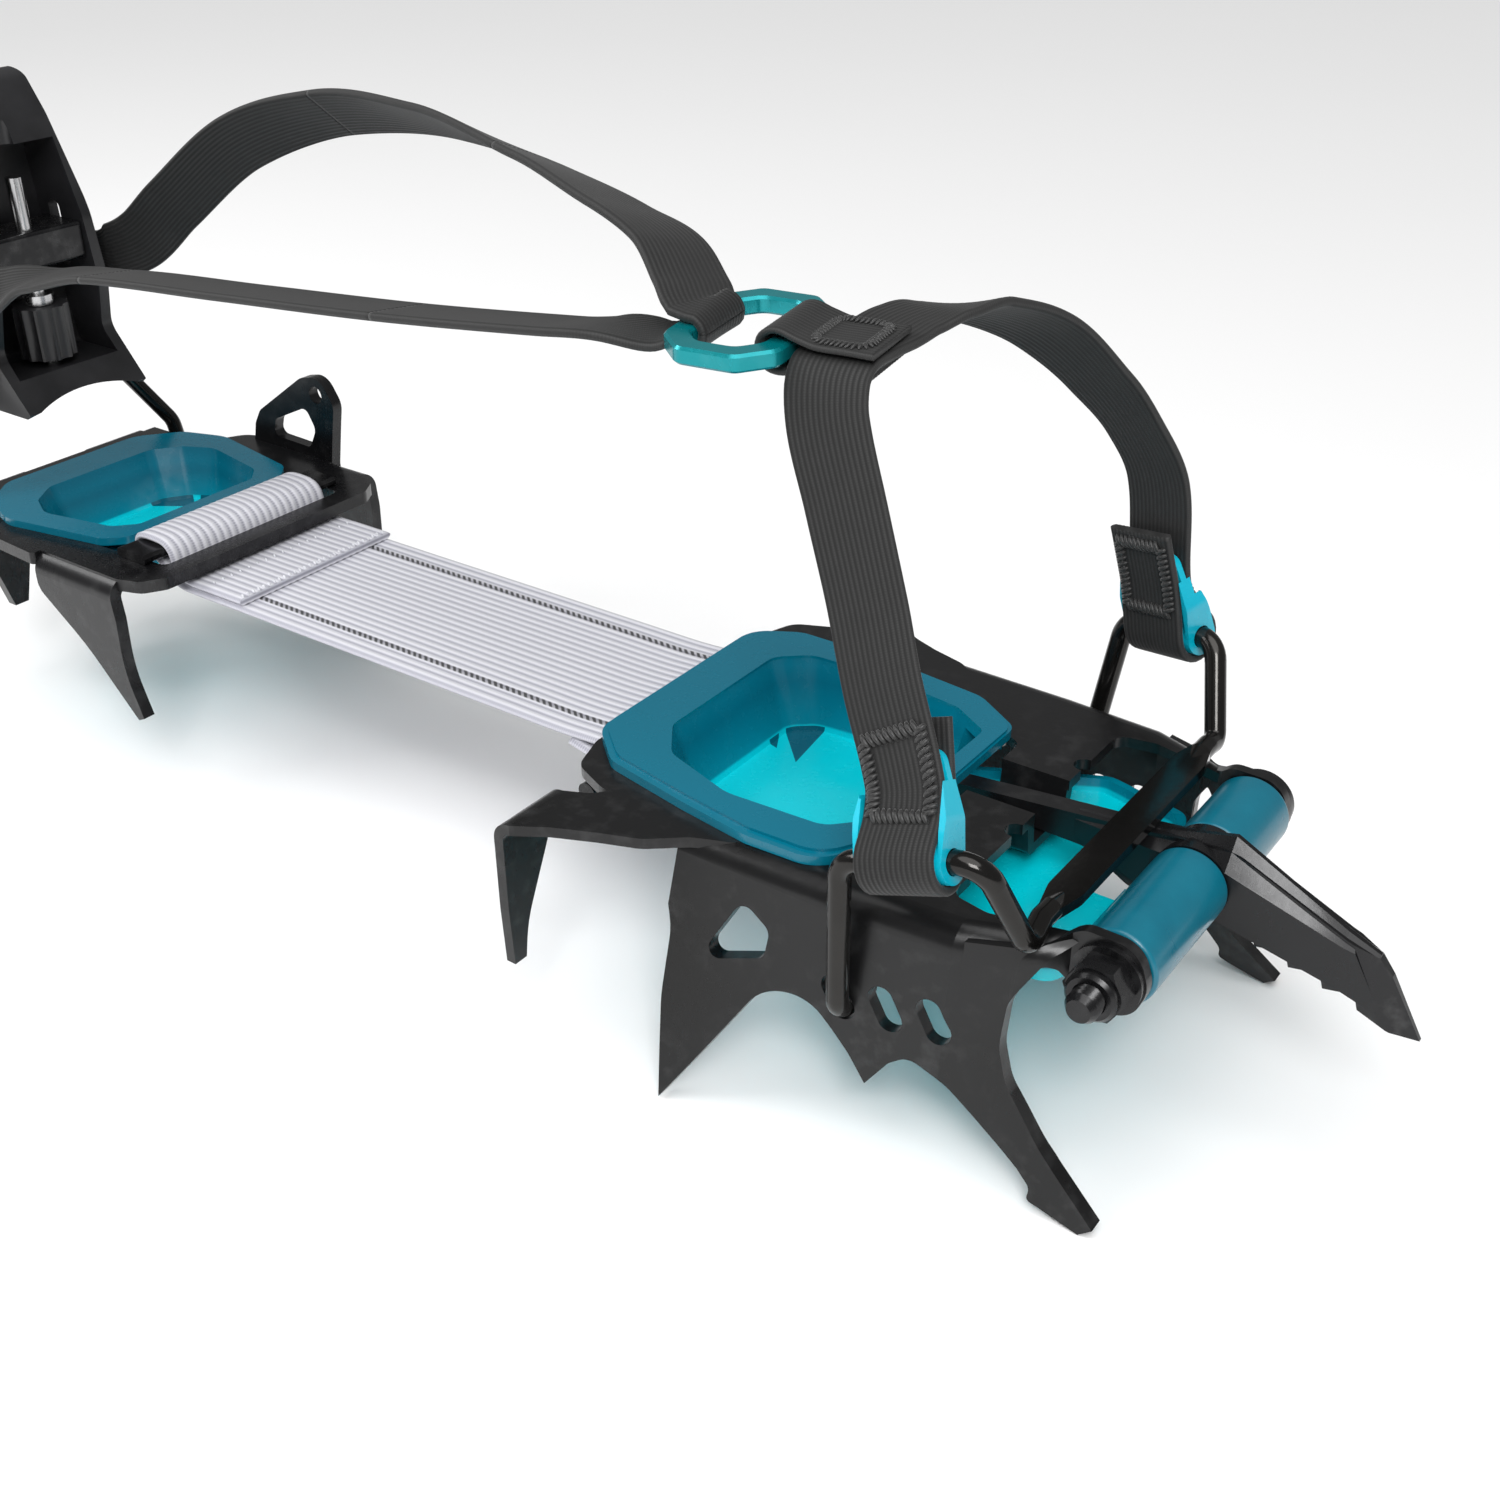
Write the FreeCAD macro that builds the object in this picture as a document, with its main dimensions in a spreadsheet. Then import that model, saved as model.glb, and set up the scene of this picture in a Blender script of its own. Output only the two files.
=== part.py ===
import FreeCAD, Part

import math
import os

import Sketcher

# One right-foot crampon for a walking or climbing boot, in millimetres.
# +X points to the toe, +Y to the inner side of the foot and +Z up. The origin lies on the front
# axle's station at the height of the front frame's top face.

V = FreeCAD.Vector
Y_AXIS = V(0, 1, 0)
Z_AXIS = V(0, 0, 1)

os.makedirs("parts", exist_ok=True)
doc = FreeCAD.newDocument("crampon")


# --- driving dimensions -------------------------------------------------------------------------

DIMENSIONS = (
    ("steel_sheet", 2.2, "front frame sheet"),
    ("bend_radius", 5.0, "outside radius of the front frame's folds"),
    ("alloy_sheet", 3.0, "heel frame sheet"),
    ("axle_radius", 2.98, "M6 front axle"),
    ("axle_hole_radius", 3.1, "holes for the axle"),
    ("axle_height", -5.0, "axle centre below the frame's top face"),
    ("axle_reach", 77.5, "axle length under the head"),
    ("ear_outside", 32.5, "outer face of the ears that hold the axle"),
    ("washer_radius", 6.5, "axle washers"),
    ("washer_thickness", 1.2, "axle washers"),
    ("spacer_radius", 7.4, "tube spacers on the axle"),
    ("spacer_edge", 0.8, "rounded spacer rims"),
    ("outer_spacer_length", 30.2, "tube on the little-toe side"),
    ("inner_spacer_length", 20.5, "tube on the big-toe side"),
    ("blade_offset", 5.0, "front point from the middle plane"),
    ("blade_half", 2.2, "half thickness of the front point's web"),
    ("blade_head_half", 4.4, "half thickness of the front point's head"),
    ("bail_wire_radius", 2.1, "toe bail wire"),
    ("bail_pivot_back", 44.3, "bail pivot behind the axle"),
    ("bail_pivot_drop", 21.0, "bail pivot below the top face"),
    ("bail_slot_pitch", 9.2, "spacing of the bail slots"),
    ("bail_slot_length", 9.0, "bail slot, end to end"),
    ("bail_slot_width", 4.8, "bail slot"),
    ("webbing_width", 15.0, "toe and ankle webbing"),
    ("webbing_thickness", 1.8, "toe and ankle webbing"),
    ("ring_bar", 4.2, "harness ring bar, across"),
    ("ring_height", 3.2, "harness ring bar, up"),
    ("ring_length", 31.0, "harness ring, outside"),
    ("ring_width", 22.0, "harness ring, outside"),
    ("link_width", 48.0, "linking strap"),
    ("link_thickness", 1.8, "linking strap"),
    ("rod_radius", 2.0, "rods in the linking strap's loops"),
    ("front_rod_length", 72.0, "rod under the front frame"),
    ("heel_bar_length", 60.0, "flat bar over the heel frame"),
    ("heel_bar_width", 10.0, "flat bar, front to back"),
    ("heel_bar_height", 2.2, "flat bar, thickness"),
    ("heel_wire_radius", 2.0, "heel wire"),
    ("running_gap", 0.05, "radial gap round a turning wire or screw"),
    ("ear_hole_radius", 2.3, "lanyard hole in the heel frame's ear"),
    ("screw_radius", 2.0, "lever adjuster screw"),
    ("screw_length", 50.0, "lever adjuster screw"),
    ("knob_radius", 7.0, "lever adjuster knob"),
    ("knob_height", 13.0, "lever adjuster knob"),
    ("lever_half", 17.5, "half width of the heel lever"),
)

sheet = doc.addObject("Spreadsheet::Sheet", "dims")
for row, (alias, value, note) in enumerate(DIMENSIONS, start=1):
    sheet.set(f"A{row}", alias)
    sheet.set(f"B{row}", str(value))
    sheet.set(f"C{row}", note)
    sheet.setAlias(f"B{row}", alias)
doc.recompute()


def dim(alias):
    return float(sheet.get(alias))


# --- building blocks ----------------------------------------------------------------------------

PLANES = {
    "xy": lambda a, b, c: V(a, b, c),
    "xz": lambda a, b, c: V(a, c, b),
    "yz": lambda a, b, c: V(c, a, b),
}


def corner(before, point, after, radius):
    """The two tangent points and the mid point of the arc that rounds a corner."""
    back = before - point
    ahead = after - point
    half = back.getAngle(ahead) / 2
    reach = min(radius / math.tan(half), 0.48 * back.Length, 0.48 * ahead.Length)
    radius = reach * math.tan(half)
    back.normalize()
    ahead.normalize()
    middle = back + ahead
    middle.normalize()
    start = point + back * reach
    end = point + ahead * reach
    depth = radius / math.sin(half) - radius
    return start, point + middle * depth, end


def rounded_path(points, radii, closed):
    """Straight runs joined by tangent arcs, as one wire."""
    count = len(points)
    edges = []
    last = None
    first = None
    for index in range(count):
        point = points[index]
        before = points[index - 1]
        after = points[(index + 1) % count]
        inside = closed or 0 < index < count - 1
        turns = inside and (before - point).getAngle(after - point) < math.pi - 1e-3
        if turns and radii[index] > 0:
            start, middle, end = corner(before, point, after, radii[index])
            arc = Part.Arc(start, middle, end).toShape()
        else:
            start = end = point
            arc = None
        if last is not None and last.distanceToPoint(start) > 1e-6:
            edges.append(Part.LineSegment(last, start).toShape())
        if first is None:
            first = start
        if arc is not None:
            edges.append(arc)
        last = end
    if closed and last.distanceToPoint(first) > 1e-6:
        edges.append(Part.LineSegment(last, first).toShape())
    return Part.Wire(edges)


def outline(points, plane, level):
    """A closed wire in a plane. Each point is (a, b) or (a, b, corner radius)."""
    place = PLANES[plane]
    corners = [place(point[0], point[1], level) for point in points]
    radii = [point[2] if len(point) > 2 else 0 for point in points]
    return rounded_path(corners, radii, True)


def prism(points, plane, low, high):
    """An outline as a solid between two levels of the axis across its plane."""
    face = Part.Face(outline(points, plane, low))
    return face.extrude(PLANES[plane](0, 0, high - low))


def two_sided(inner_half, outer_half):
    """An outline in XY from its +Y half and its -Y half, each given from front to rear."""
    other = [(point[0], -point[1]) + tuple(point[2:]) for point in reversed(outer_half)]
    return list(inner_half) + other


def mirrored(points):
    return two_sided(points, points)


def cylinder(radius, centre, axis, low, high):
    """A cylinder along an axis, between two distances from its centre point."""
    return Part.makeCylinder(radius, high - low, centre + axis * low, axis)


def block(x_span, y_span, z_span):
    corner_point = V(x_span[0], y_span[0], z_span[0])
    size = (x_span[1] - x_span[0], y_span[1] - y_span[0], z_span[1] - z_span[0])
    return Part.makeBox(size[0], size[1], size[2], corner_point)


def joined(*shapes):
    return shapes[0].multiFuse(list(shapes[1:])).removeSplitter()


def feature(label, shape, placement=None):
    """A sub-part whose form neither a body nor a primitive describes."""
    item = doc.addObject("Part::Feature", label)
    item.Label = label
    item.Shape = shape
    if placement is not None:
        item.Placement = placement
    subparts.append(item)
    return item


def body(label, placement):
    item = doc.addObject("PartDesign::Body", label)
    item.Label = label
    item.Placement = placement
    subparts.append(item)
    return item


def sketch_on(owner, role, name):
    plane = next(f for f in owner.Origin.OriginFeatures if f.Role == role)
    sketch = owner.newObject("Sketcher::SketchObject", name)
    sketch.AttachmentSupport = (plane, [""])
    sketch.MapMode = "FlatFace"
    return sketch


def add_circle(sketch, alias):
    """A circle on the sketch's origin, its radius bound to the sheet."""
    item = sketch.addGeometry(Part.Circle(V(0, 0, 0), Z_AXIS, dim(alias)), False)
    sketch.addConstraint(Sketcher.Constraint("Coincident", item, 3, -1, 1))
    bound = sketch.addConstraint(Sketcher.Constraint("Radius", item, dim(alias)))
    sketch.setExpression(f"Constraints[{bound}]", f"dims.{alias}")


def add_polygon(sketch, points):
    """A closed run of straight lines."""
    first = sketch.GeometryCount
    count = len(points)
    for index, point in enumerate(points):
        after = points[(index + 1) % count]
        line = Part.LineSegment(V(point[0], point[1], 0), V(after[0], after[1], 0))
        sketch.addGeometry(line, False)
    for index in range(count):
        after = first + (index + 1) % count
        sketch.addConstraint(Sketcher.Constraint("Coincident", first + index, 2, after, 1))


def pad(owner, sketch, name, length):
    """A pad whose length is a sheet alias or an expression."""
    item = owner.newObject("PartDesign::Pad", name)
    item.Profile = sketch
    item.setExpression("Length", length)
    sketch.Visibility = False
    return item


def frame_placement(origin, along_x, along_z):
    """A placement whose local X and Z lie along two directions, made square to each other."""
    z_dir = V(along_z)
    z_dir.normalize()
    x_dir = along_x - z_dir * along_x.dot(z_dir)
    x_dir.normalize()
    y_dir = z_dir.cross(x_dir)
    turn = FreeCAD.Rotation(x_dir, y_dir, z_dir, "ZXY")
    return FreeCAD.Placement(origin, turn)


def tube(points, radii, radius):
    """A round wire bent along straight runs and arcs."""
    path = rounded_path(points, radii, False)
    run = points[1] - points[0]
    start = Part.Wire(Part.makeCircle(radius, points[0], run))
    return Part.Wire(path.Edges).makePipeShell([start], True, True)


def band_sections(stations, width, thickness):
    """Closed sections of a flat strap through stations of (centre, direction across its width)."""
    sections = []
    count = len(stations)
    for index, (centre, across) in enumerate(stations):
        before = stations[max(index - 1, 0)][0]
        after = stations[min(index + 1, count - 1)][0]
        along = after - before
        along.normalize()
        side = across - along * across.dot(along)
        side.normalize()
        up = along.cross(side)
        half = side * (width / 2)
        rise = up * (thickness / 2)
        corners = [centre - half - rise, centre + half - rise]
        corners += [centre + half + rise, centre - half + rise]
        sections.append((Part.makePolygon(corners + corners[:1]), along))
    return sections


def band(stations, width, thickness):
    wires = [wire for wire, along in band_sections(stations, width, thickness)]
    return Part.makeLoft(wires, True, True)


def along_minus_y(y_level):
    """Local +Z laid along -Y from a point on the front axle."""
    turn = FreeCAD.Rotation(V(1, 0, 0), 90)
    return FreeCAD.Placement(V(0, y_level, dim("axle_height")), turn)


subparts = []


# --- front frame --------------------------------------------------------------------------------

# Stations of the folded sheet: place along X, half width at the top, half width 55 mm down.
FRAME_DEPTH = 55.0
FRAME_STATIONS = (
    (9.0, 33.0, 45.0),
    (-3.0, 33.0, 45.5),
    (-14.0, 38.5, 46.0),
    (-24.0, 42.5, 46.5),
    (-45.0, 44.0, 48.5),
    (-80.0, 44.0, 61.0),
)
FRAME_REAR = -113.0
CROSSMEMBER = (-44.0, -30.0)
SADDLE_DROP = 7.0
WING_BEND = 4.0


def channel(inset, top, depth):
    """The folded sheet's outer or inner form, as a solid lofted through the stations."""
    radius = dim("bend_radius") - inset
    sections = []
    for x, top_half, low_half in FRAME_STATIONS:
        upper = top_half - inset
        lower = low_half - inset
        points = [(-lower, -depth), (-upper, top, radius), (upper, top, radius), (lower, -depth)]
        sections.append(outline(points, "yz", x))
    return Part.makeLoft(sections, True, True)


def ear_plates():
    """Upright ends of the side flanges, which curve in to stand square to the axle."""
    thickness = dim("steel_sheet")
    face = dim("ear_outside")
    # Stations of the plate: place along X, half width at the top, outward slope below it.
    stations = ((9.0, face, 0.0), (-7.0, face, 0.0), (-14.0, 38.5, 0.136), (-24.0, 42.5, 0.073))
    plates = []
    for side in (-1, 1):
        sections = []
        for x, half, slope in stations:
            points = []
            for inset, level in ((0, 4), (0, -22), (thickness, -22), (thickness, 4)):
                points.append(V(x, side * (half - slope * min(level, 0) - inset), level))
            sections.append(Part.makePolygon(points + points[:1]))
        plates.append(Part.makeLoft(sections, True, True))
    axle = dim("axle_height")
    shape_points = [(-22, -1.5), (-10, -1.0, 6), (-5, 2.4, 4), (4.6, 2.2, 6), (7.2, axle, 6)]
    shape_points += [(4.6, -12.2, 6), (-5.0, -12.6, 6), (-8.4, -6.5, 2), (-10.6, -5.2, 3)]
    shape_points += [(-14, -12, 6), (-14.5, -21), (-22, -21)]
    ear_outline = prism(shape_points, "xz", -60, 60)
    return [plate.common(ear_outline) for plate in plates]


def flange_outline():
    """Side view of the flanges: mid tooth, rear side tooth and the barbed front tooth."""
    return [
        (-82, 1),
        (-4, 1),
        (-9, -3),
        (-14.2, -12, 8),
        (-14.4, -21, 10),
        (-12.4, -28, 12),
        (-4.5, -39.5, 30),
        (7.2, -49.6),
        (4.8, -51.4),
        (-5.4, -49.0, 1.0),
        (-5.2, -46.5, 2.0),
        (-8.0, -43.6, 3.0),
        (-23.0, -31.0, 12),
        (-30.0, -28.3, 4),
        (-33.5, -31.0, 3),
        (-37.8, -37.2),
        (-41.5, -32.0, 10),
        (-50.0, -23.0, 9),
        (-59.0, -24.0, 10),
        (-69.5, -41.0, 30),
        (-75.8, -51.0),
        (-78.4, -31.0, 40),
        (-78.6, -18.0, 14),
        (-82, -8, 4),
    ]


SLOT_LEAN = V(math.sin(math.radians(30)), 0, -math.cos(math.radians(30)))


def slot_solid(x, z):
    """One slanted bail slot through both flanges."""
    radius = dim("bail_slot_width") / 2
    half = dim("bail_slot_length") / 2 - radius
    ends = [V(x, 0, z) - SLOT_LEAN * half, V(x, 0, z) + SLOT_LEAN * half]
    rounds = [cylinder(radius, end, Y_AXIS, -70, 70) for end in ends]
    across = V(SLOT_LEAN.z, 0, -SLOT_LEAN.x) * radius
    corners = [ends[0] + across, ends[1] + across, ends[1] - across, ends[0] - across]
    sides = Part.Face(Part.makePolygon([c - Y_AXIS * 70 for c in corners + corners[:1]]))
    return joined(sides.extrude(Y_AXIS * 140), *rounds)


OUTER_WING = (
    (-62, 36),
    (-70, 42, 6),
    (-77, 44.8, 6),
    (-84, 50.5, 8),
    (-92, 53.5, 10),
    (-100, 57, 8),
    (-106.5, 61),
    (-106.5, 46),
    (-101, 43.5, 6),
    (-96, 36),
)
INNER_WING = (
    (-62, 36),
    (-70, 42, 6),
    (-78, 44.2, 6),
    (-84, 46.5, 8),
    (-90, 50.5, 8),
    (-96, 56, 8),
    (-101.0, 60),
    (-101.0, 46),
    (-96, 43, 6),
    (-91, 36),
)


def wing(side, plan):
    """Strip that runs out and back from a rail and folds down into the rear tooth."""
    thickness = dim("steel_sheet")
    strip = prism([(x, side * y) + tuple(rest) for x, y, *rest in plan], "xy", -thickness, 0)
    bend_x, outer_y = plan[6]
    inner_y = plan[7][1]
    low, high = sorted((side * inner_y, side * outer_y))
    centre = V(bend_x, 0, -WING_BEND)
    bend = cylinder(WING_BEND, centre, Y_AXIS, low, high)
    bend = bend.cut(cylinder(WING_BEND - thickness, centre, Y_AXIS, low, high))
    quarter = block((bend_x - 9, bend_x), (low, high), (-WING_BEND, 3))
    bend = bend.common(quarter)
    tooth = [(outer_y, -WING_BEND), (inner_y, -WING_BEND), (inner_y + 2.5, -9, 6), (outer_y - 5, -25, 30)]
    tooth += [(outer_y - 3.8, -32.8), (outer_y - 0.6, -32.8), (outer_y, -20)]
    back = bend_x - WING_BEND
    plate = prism([(side * y, z) + tuple(rest) for y, z, *rest in tooth], "yz", back, back + thickness)
    return joined(strip, bend, plate)


def front_frame():
    thickness = dim("steel_sheet")
    offset = dim("blade_offset")
    folded = channel(0, 0, FRAME_DEPTH).cut(channel(thickness, -thickness, FRAME_DEPTH + 5))
    folded = folded.common(prism(flange_outline(), "xz", -80, 80))
    rear_plan = mirrored([(-60, 40), (-84, 41, 8), (-101, 41, 6), (-110, 37, 5), (FRAME_REAR, 28, 5)])
    rear = prism(rear_plan, "xy", -thickness, 0)
    frame = joined(folded, rear, wing(-1, OUTER_WING), wing(1, INNER_WING))
    far_gap = [(-44.2, 19, 3), (-56, 25, 6), (-80, 27.5, 10), (-99, 26.5, 6), (-105, 21, 6)]
    near_gap = [(-44.2, 28, 3), (-54, 35.5, 6), (-80, 36, 10), (-99, 30, 6), (-105, 21, 6)]
    tray_gap = two_sided(far_gap, near_gap)
    front_gap = mirrored([(20, 44), (-4, 44), (-4, 30), (-10, 31.5, 3), (-22, 34.5, 4), (-29.8, 33, 3)])
    frame = frame.cut(prism(tray_gap, "xy", -5, 3)).cut(prism(front_gap, "xy", -5, 5))
    # The crossmember dips under the front point's tail and carries small locating notches.
    dip = block((CROSSMEMBER[0] - 1, CROSSMEMBER[1] + 1), (offset - 7, offset + 7), (-5, 3))
    frame = frame.cut(dip)
    saddle_points = [(offset - 9.4, 0), (offset - 7, 0), (offset - 6, -SADDLE_DROP), (offset + 6, -SADDLE_DROP)]
    saddle_points += [(offset + 7, 0), (offset + 9.4, 0), (offset + 8, -SADDLE_DROP - thickness, 2)]
    saddle_points += [(offset - 8, -SADDLE_DROP - thickness, 2)]
    saddle = prism(saddle_points, "yz", CROSSMEMBER[0], CROSSMEMBER[1])
    frame = joined(frame, saddle, *ear_plates())
    for y in (-24, -9, 19):
        frame = frame.cut(cylinder(2.2, V(CROSSMEMBER[1], y, 0), Z_AXIS, -4, 2))
    frame = frame.cut(cylinder(dim("axle_hole_radius"), V(0, 0, dim("axle_height")), Y_AXIS, -60, 60))
    for place in range(3):
        x = -dim("bail_pivot_back") + place * dim("bail_slot_pitch")
        frame = frame.cut(slot_solid(x, -dim("bail_pivot_drop") + place * 0.9))
    window = [(-65, -8.4, 2.5), (-58.8, -12.5, 2.5), (-59.4, -18.2, 2), (-72.6, -22.4, 2)]
    frame = frame.cut(prism(window, "xz", -70, 70))
    # Lugs below the rear edge hold the linking strap's rod.
    for side in (-1, 1):
        low, high = sorted((side * 27, side * 29.5))
        lug = prism([(-112.8, -1), (-104, -1), (-105.5, -10.5, 3), (-112.8, -10.5, 3)], "xz", low, high)
        frame = frame.fuse(lug)
    rod_hole = cylinder(dim("rod_radius") + 0.1, ROD_FRONT, Y_AXIS, -40, 40)
    return feature("front_frame", frame.cut(rod_hole).removeSplitter())


ROD_FRONT = V(-109.3, 0, -6.6)
front_frame()


# --- front point and axle -----------------------------------------------------------------------


def blade_section(x, half, top, shoulder, low):
    """Roof-shaped section of the forged head: a ridge, two shoulders and a flat underside."""
    offset = dim("blade_offset")
    ridge = min(0.5, half * 0.2)
    points = [(-ridge, top), (ridge, top), (half, shoulder), (half, low), (-half, low), (-half, shoulder)]
    return Part.makePolygon([V(x, offset + y, z) for y, z in points + points[:1]])


def point_bevels():
    """Wedges that thin the front point from both sides towards its leading edge."""
    offset = dim("blade_offset")
    half = dim("blade_half")
    # The leading edge at the wedges' upper end, and its run down to below the tip.
    edge_x, top = 34.4, -7.0
    run = V(5.9, 0, -11.0) * 2
    wedges = []
    for side in (-1, 1):
        corners = [(edge_x - 5.2, half), (edge_x + 0.4, 0.35), (edge_x + 3, 0.35), (edge_x + 3, half + 3)]
        corners.append((edge_x - 5.2, half + 3))
        loop = [V(x, offset + side * y, top) for x, y in corners]
        wedges.append(Part.Face(Part.makePolygon(loop + loop[:1])).extrude(run))
    return joined(*wedges)


def mono_point():
    half = dim("blade_half")
    head_half = dim("blade_head_half")
    offset = dim("blade_offset")
    axle = V(0, offset, dim("axle_height"))
    top_line = [(-53, -3.0), (-14, 0.6, 60), (6.0, 3.0, 10), (28.0, -7.0), (34.0, -9.2)]
    outline_points = top_line + [(36.6, -12.2), (43.2, -23.4), (38.2, -22.8)]
    for tooth in range(4):
        x = 32.2 - tooth * 6.5
        z = -20.4 + tooth * 1.8
        outline_points += [(x, z), (x - 0.9, z + 2.9, 1.8)]
    outline_points += [(4, -12.4, 3), (-12, -12.0, 6), (-21, -6.7, 8), (-51, -5.9), (-53, -4.2)]
    web = prism(outline_points, "xz", offset - half, offset + half)
    head = Part.makeLoft(
        [
            blade_section(-24, half, 0.0, -1.5, -5.0),
            blade_section(-8, head_half, 1.5, -0.9, -10.0),
            blade_section(6, head_half, 5.0, -0.6, -11.2),
            blade_section(28, half + 0.9, -6.3, -8.2, -17.0),
            blade_section(34, half, -8.8, -9.8, -19.6),
        ],
        True,
        True,
    )
    boss = cylinder(7.4, axle, Y_AXIS, -head_half, head_half)
    blade = joined(web, head, boss).cut(point_bevels())
    return feature("mono_point", blade.cut(cylinder(dim("axle_hole_radius"), axle, Y_AXIS, -20, 20)))


def axle_bolt():
    """Button head with a hexagon socket, a plain shank and a thread cut by one revolved profile."""
    bolt = body("axle_bolt", along_minus_y(dim("ear_outside") + dim("washer_thickness")))
    shank_radius = dim("axle_radius")
    reach = dim("axle_reach")
    profile = [(0, -3.4), (3.6, -3.4), (5.2, -2.2), (5.6, -1.4), (6.4, -1.2), (6.4, 0), (shank_radius, 0)]
    turns = 12
    pitch = 1.0
    start = reach - 1.2 - turns * pitch
    for turn in range(turns):
        profile += [(shank_radius, start + turn * pitch), (shank_radius - 0.5, start + (turn + 0.5) * pitch)]
    profile += [(shank_radius, reach - 1.2), (shank_radius - 0.8, reach), (0, reach)]
    sketch = sketch_on(bolt, "XZ_Plane", "bolt_profile")
    add_polygon(sketch, profile)
    turned = bolt.newObject("PartDesign::Revolution", "turned")
    turned.Profile = sketch
    turned.ReferenceAxis = (sketch, ["V_Axis"])
    turned.Angle = 360
    sketch.Visibility = False
    doc.recompute()
    return bolt


def axle_nut():
    """Hexagon nut with a locking collar."""
    top = -dim("ear_outside") - dim("washer_thickness")
    nut = body("axle_nut", along_minus_y(top))
    across = 10.0 / 2 / math.cos(math.radians(30))
    hexagon = [(across * math.cos(a), across * math.sin(a)) for a in (math.radians(60 * i) for i in range(6))]
    flats = sketch_on(nut, "XY_Plane", "nut_flats")
    add_polygon(flats, hexagon)
    add_circle(flats, "axle_hole_radius")
    hexagon_pad = nut.newObject("PartDesign::Pad", "nut_body")
    hexagon_pad.Profile = flats
    hexagon_pad.Length = 4.6
    doc.recompute()
    # A cone trims the hexagon's corners, as on a real nut.
    trim = sketch_on(nut, "XZ_Plane", "nut_corner_trim")
    add_polygon(trim, [(4.9, 4.7), (7.2, 4.7), (7.2, 3.3)])
    groove = nut.newObject("PartDesign::Groove", "nut_corners")
    groove.Profile = trim
    groove.ReferenceAxis = (trim, ["V_Axis"])
    groove.Angle = 360
    doc.recompute()
    collar = sketch_on(nut, "XZ_Plane", "nut_collar")
    hole = dim("axle_hole_radius")
    add_polygon(collar, [(hole, 4.0), (4.7, 4.0), (4.7, 5.6), (4.1, 6.2), (hole, 6.2)])
    turned = nut.newObject("PartDesign::Revolution", "nut_collar_ring")
    turned.Profile = collar
    turned.ReferenceAxis = (collar, ["V_Axis"])
    turned.Angle = 360
    doc.recompute()
    return nut


def ring_body(label, placement, outer_alias, length_alias, edge_alias=None):
    """A washer or tube on the axle: two circles padded, with its rims rounded if it has a size."""
    item = body(label, placement)
    sketch = sketch_on(item, "XY_Plane", f"{label}_section")
    add_circle(sketch, outer_alias)
    add_circle(sketch, "axle_hole_radius")
    tube_pad = pad(item, sketch, f"{label}_pad", f"dims.{length_alias}")
    doc.recompute()
    if edge_alias is not None:
        radius = dim(outer_alias)
        rims = []
        for index, edge in enumerate(tube_pad.Shape.Edges, start=1):
            if edge.Closed and abs(edge.BoundBox.XLength - 2 * radius) < 0.1:
                rims.append(f"Edge{index}")
        rounding = item.newObject("PartDesign::Fillet", f"{label}_rims")
        rounding.Base = (tube_pad, rims)
        rounding.setExpression("Radius", f"dims.{edge_alias}")
    return item


mono_point()
axle_bolt()
axle_nut()
ring_body("outer_washer", along_minus_y(-dim("ear_outside")), "washer_radius", "washer_thickness")
inner_washer_face = dim("ear_outside") + dim("washer_thickness")
ring_body("inner_washer", along_minus_y(inner_washer_face), "washer_radius", "washer_thickness")
blade_side = dim("blade_offset") - dim("blade_head_half")
outer_spacer_at = along_minus_y(blade_side - 0.1)
ring_body("outer_spacer", outer_spacer_at, "spacer_radius", "outer_spacer_length", "spacer_edge")
far_side = dim("blade_offset") + dim("blade_head_half") + 0.1
inner_spacer_at = along_minus_y(far_side + dim("inner_spacer_length"))
ring_body("inner_spacer", inner_spacer_at, "spacer_radius", "inner_spacer_length", "spacer_edge")


# --- anti-snow trays ----------------------------------------------------------------------------


def basin(top_outline, low_outline, top, floor, wall):
    """Outer and inner solids of a sunken tray with sloping sides."""
    outer = Part.makeLoft([outline(top_outline, "xy", top), outline(low_outline, "xy", floor)], True, True)

    def shrunk(points):
        middle = (max(p[0] for p in points) + min(p[0] for p in points)) / 2
        moved = []
        for x, y, radius in points:
            new_x = x - math.copysign(wall, x - middle)
            moved.append((new_x, y - math.copysign(wall, y), max(radius - wall, 1)))
        return moved

    inner = Part.makeLoft(
        [outline(shrunk(top_outline), "xy", top), outline(shrunk(low_outline), "xy", floor + wall)],
        True,
        True,
    )
    mouth = prism(shrunk(top_outline), "xy", top - 0.01, top + 3)
    return outer, inner.fuse(mouth)


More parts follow.
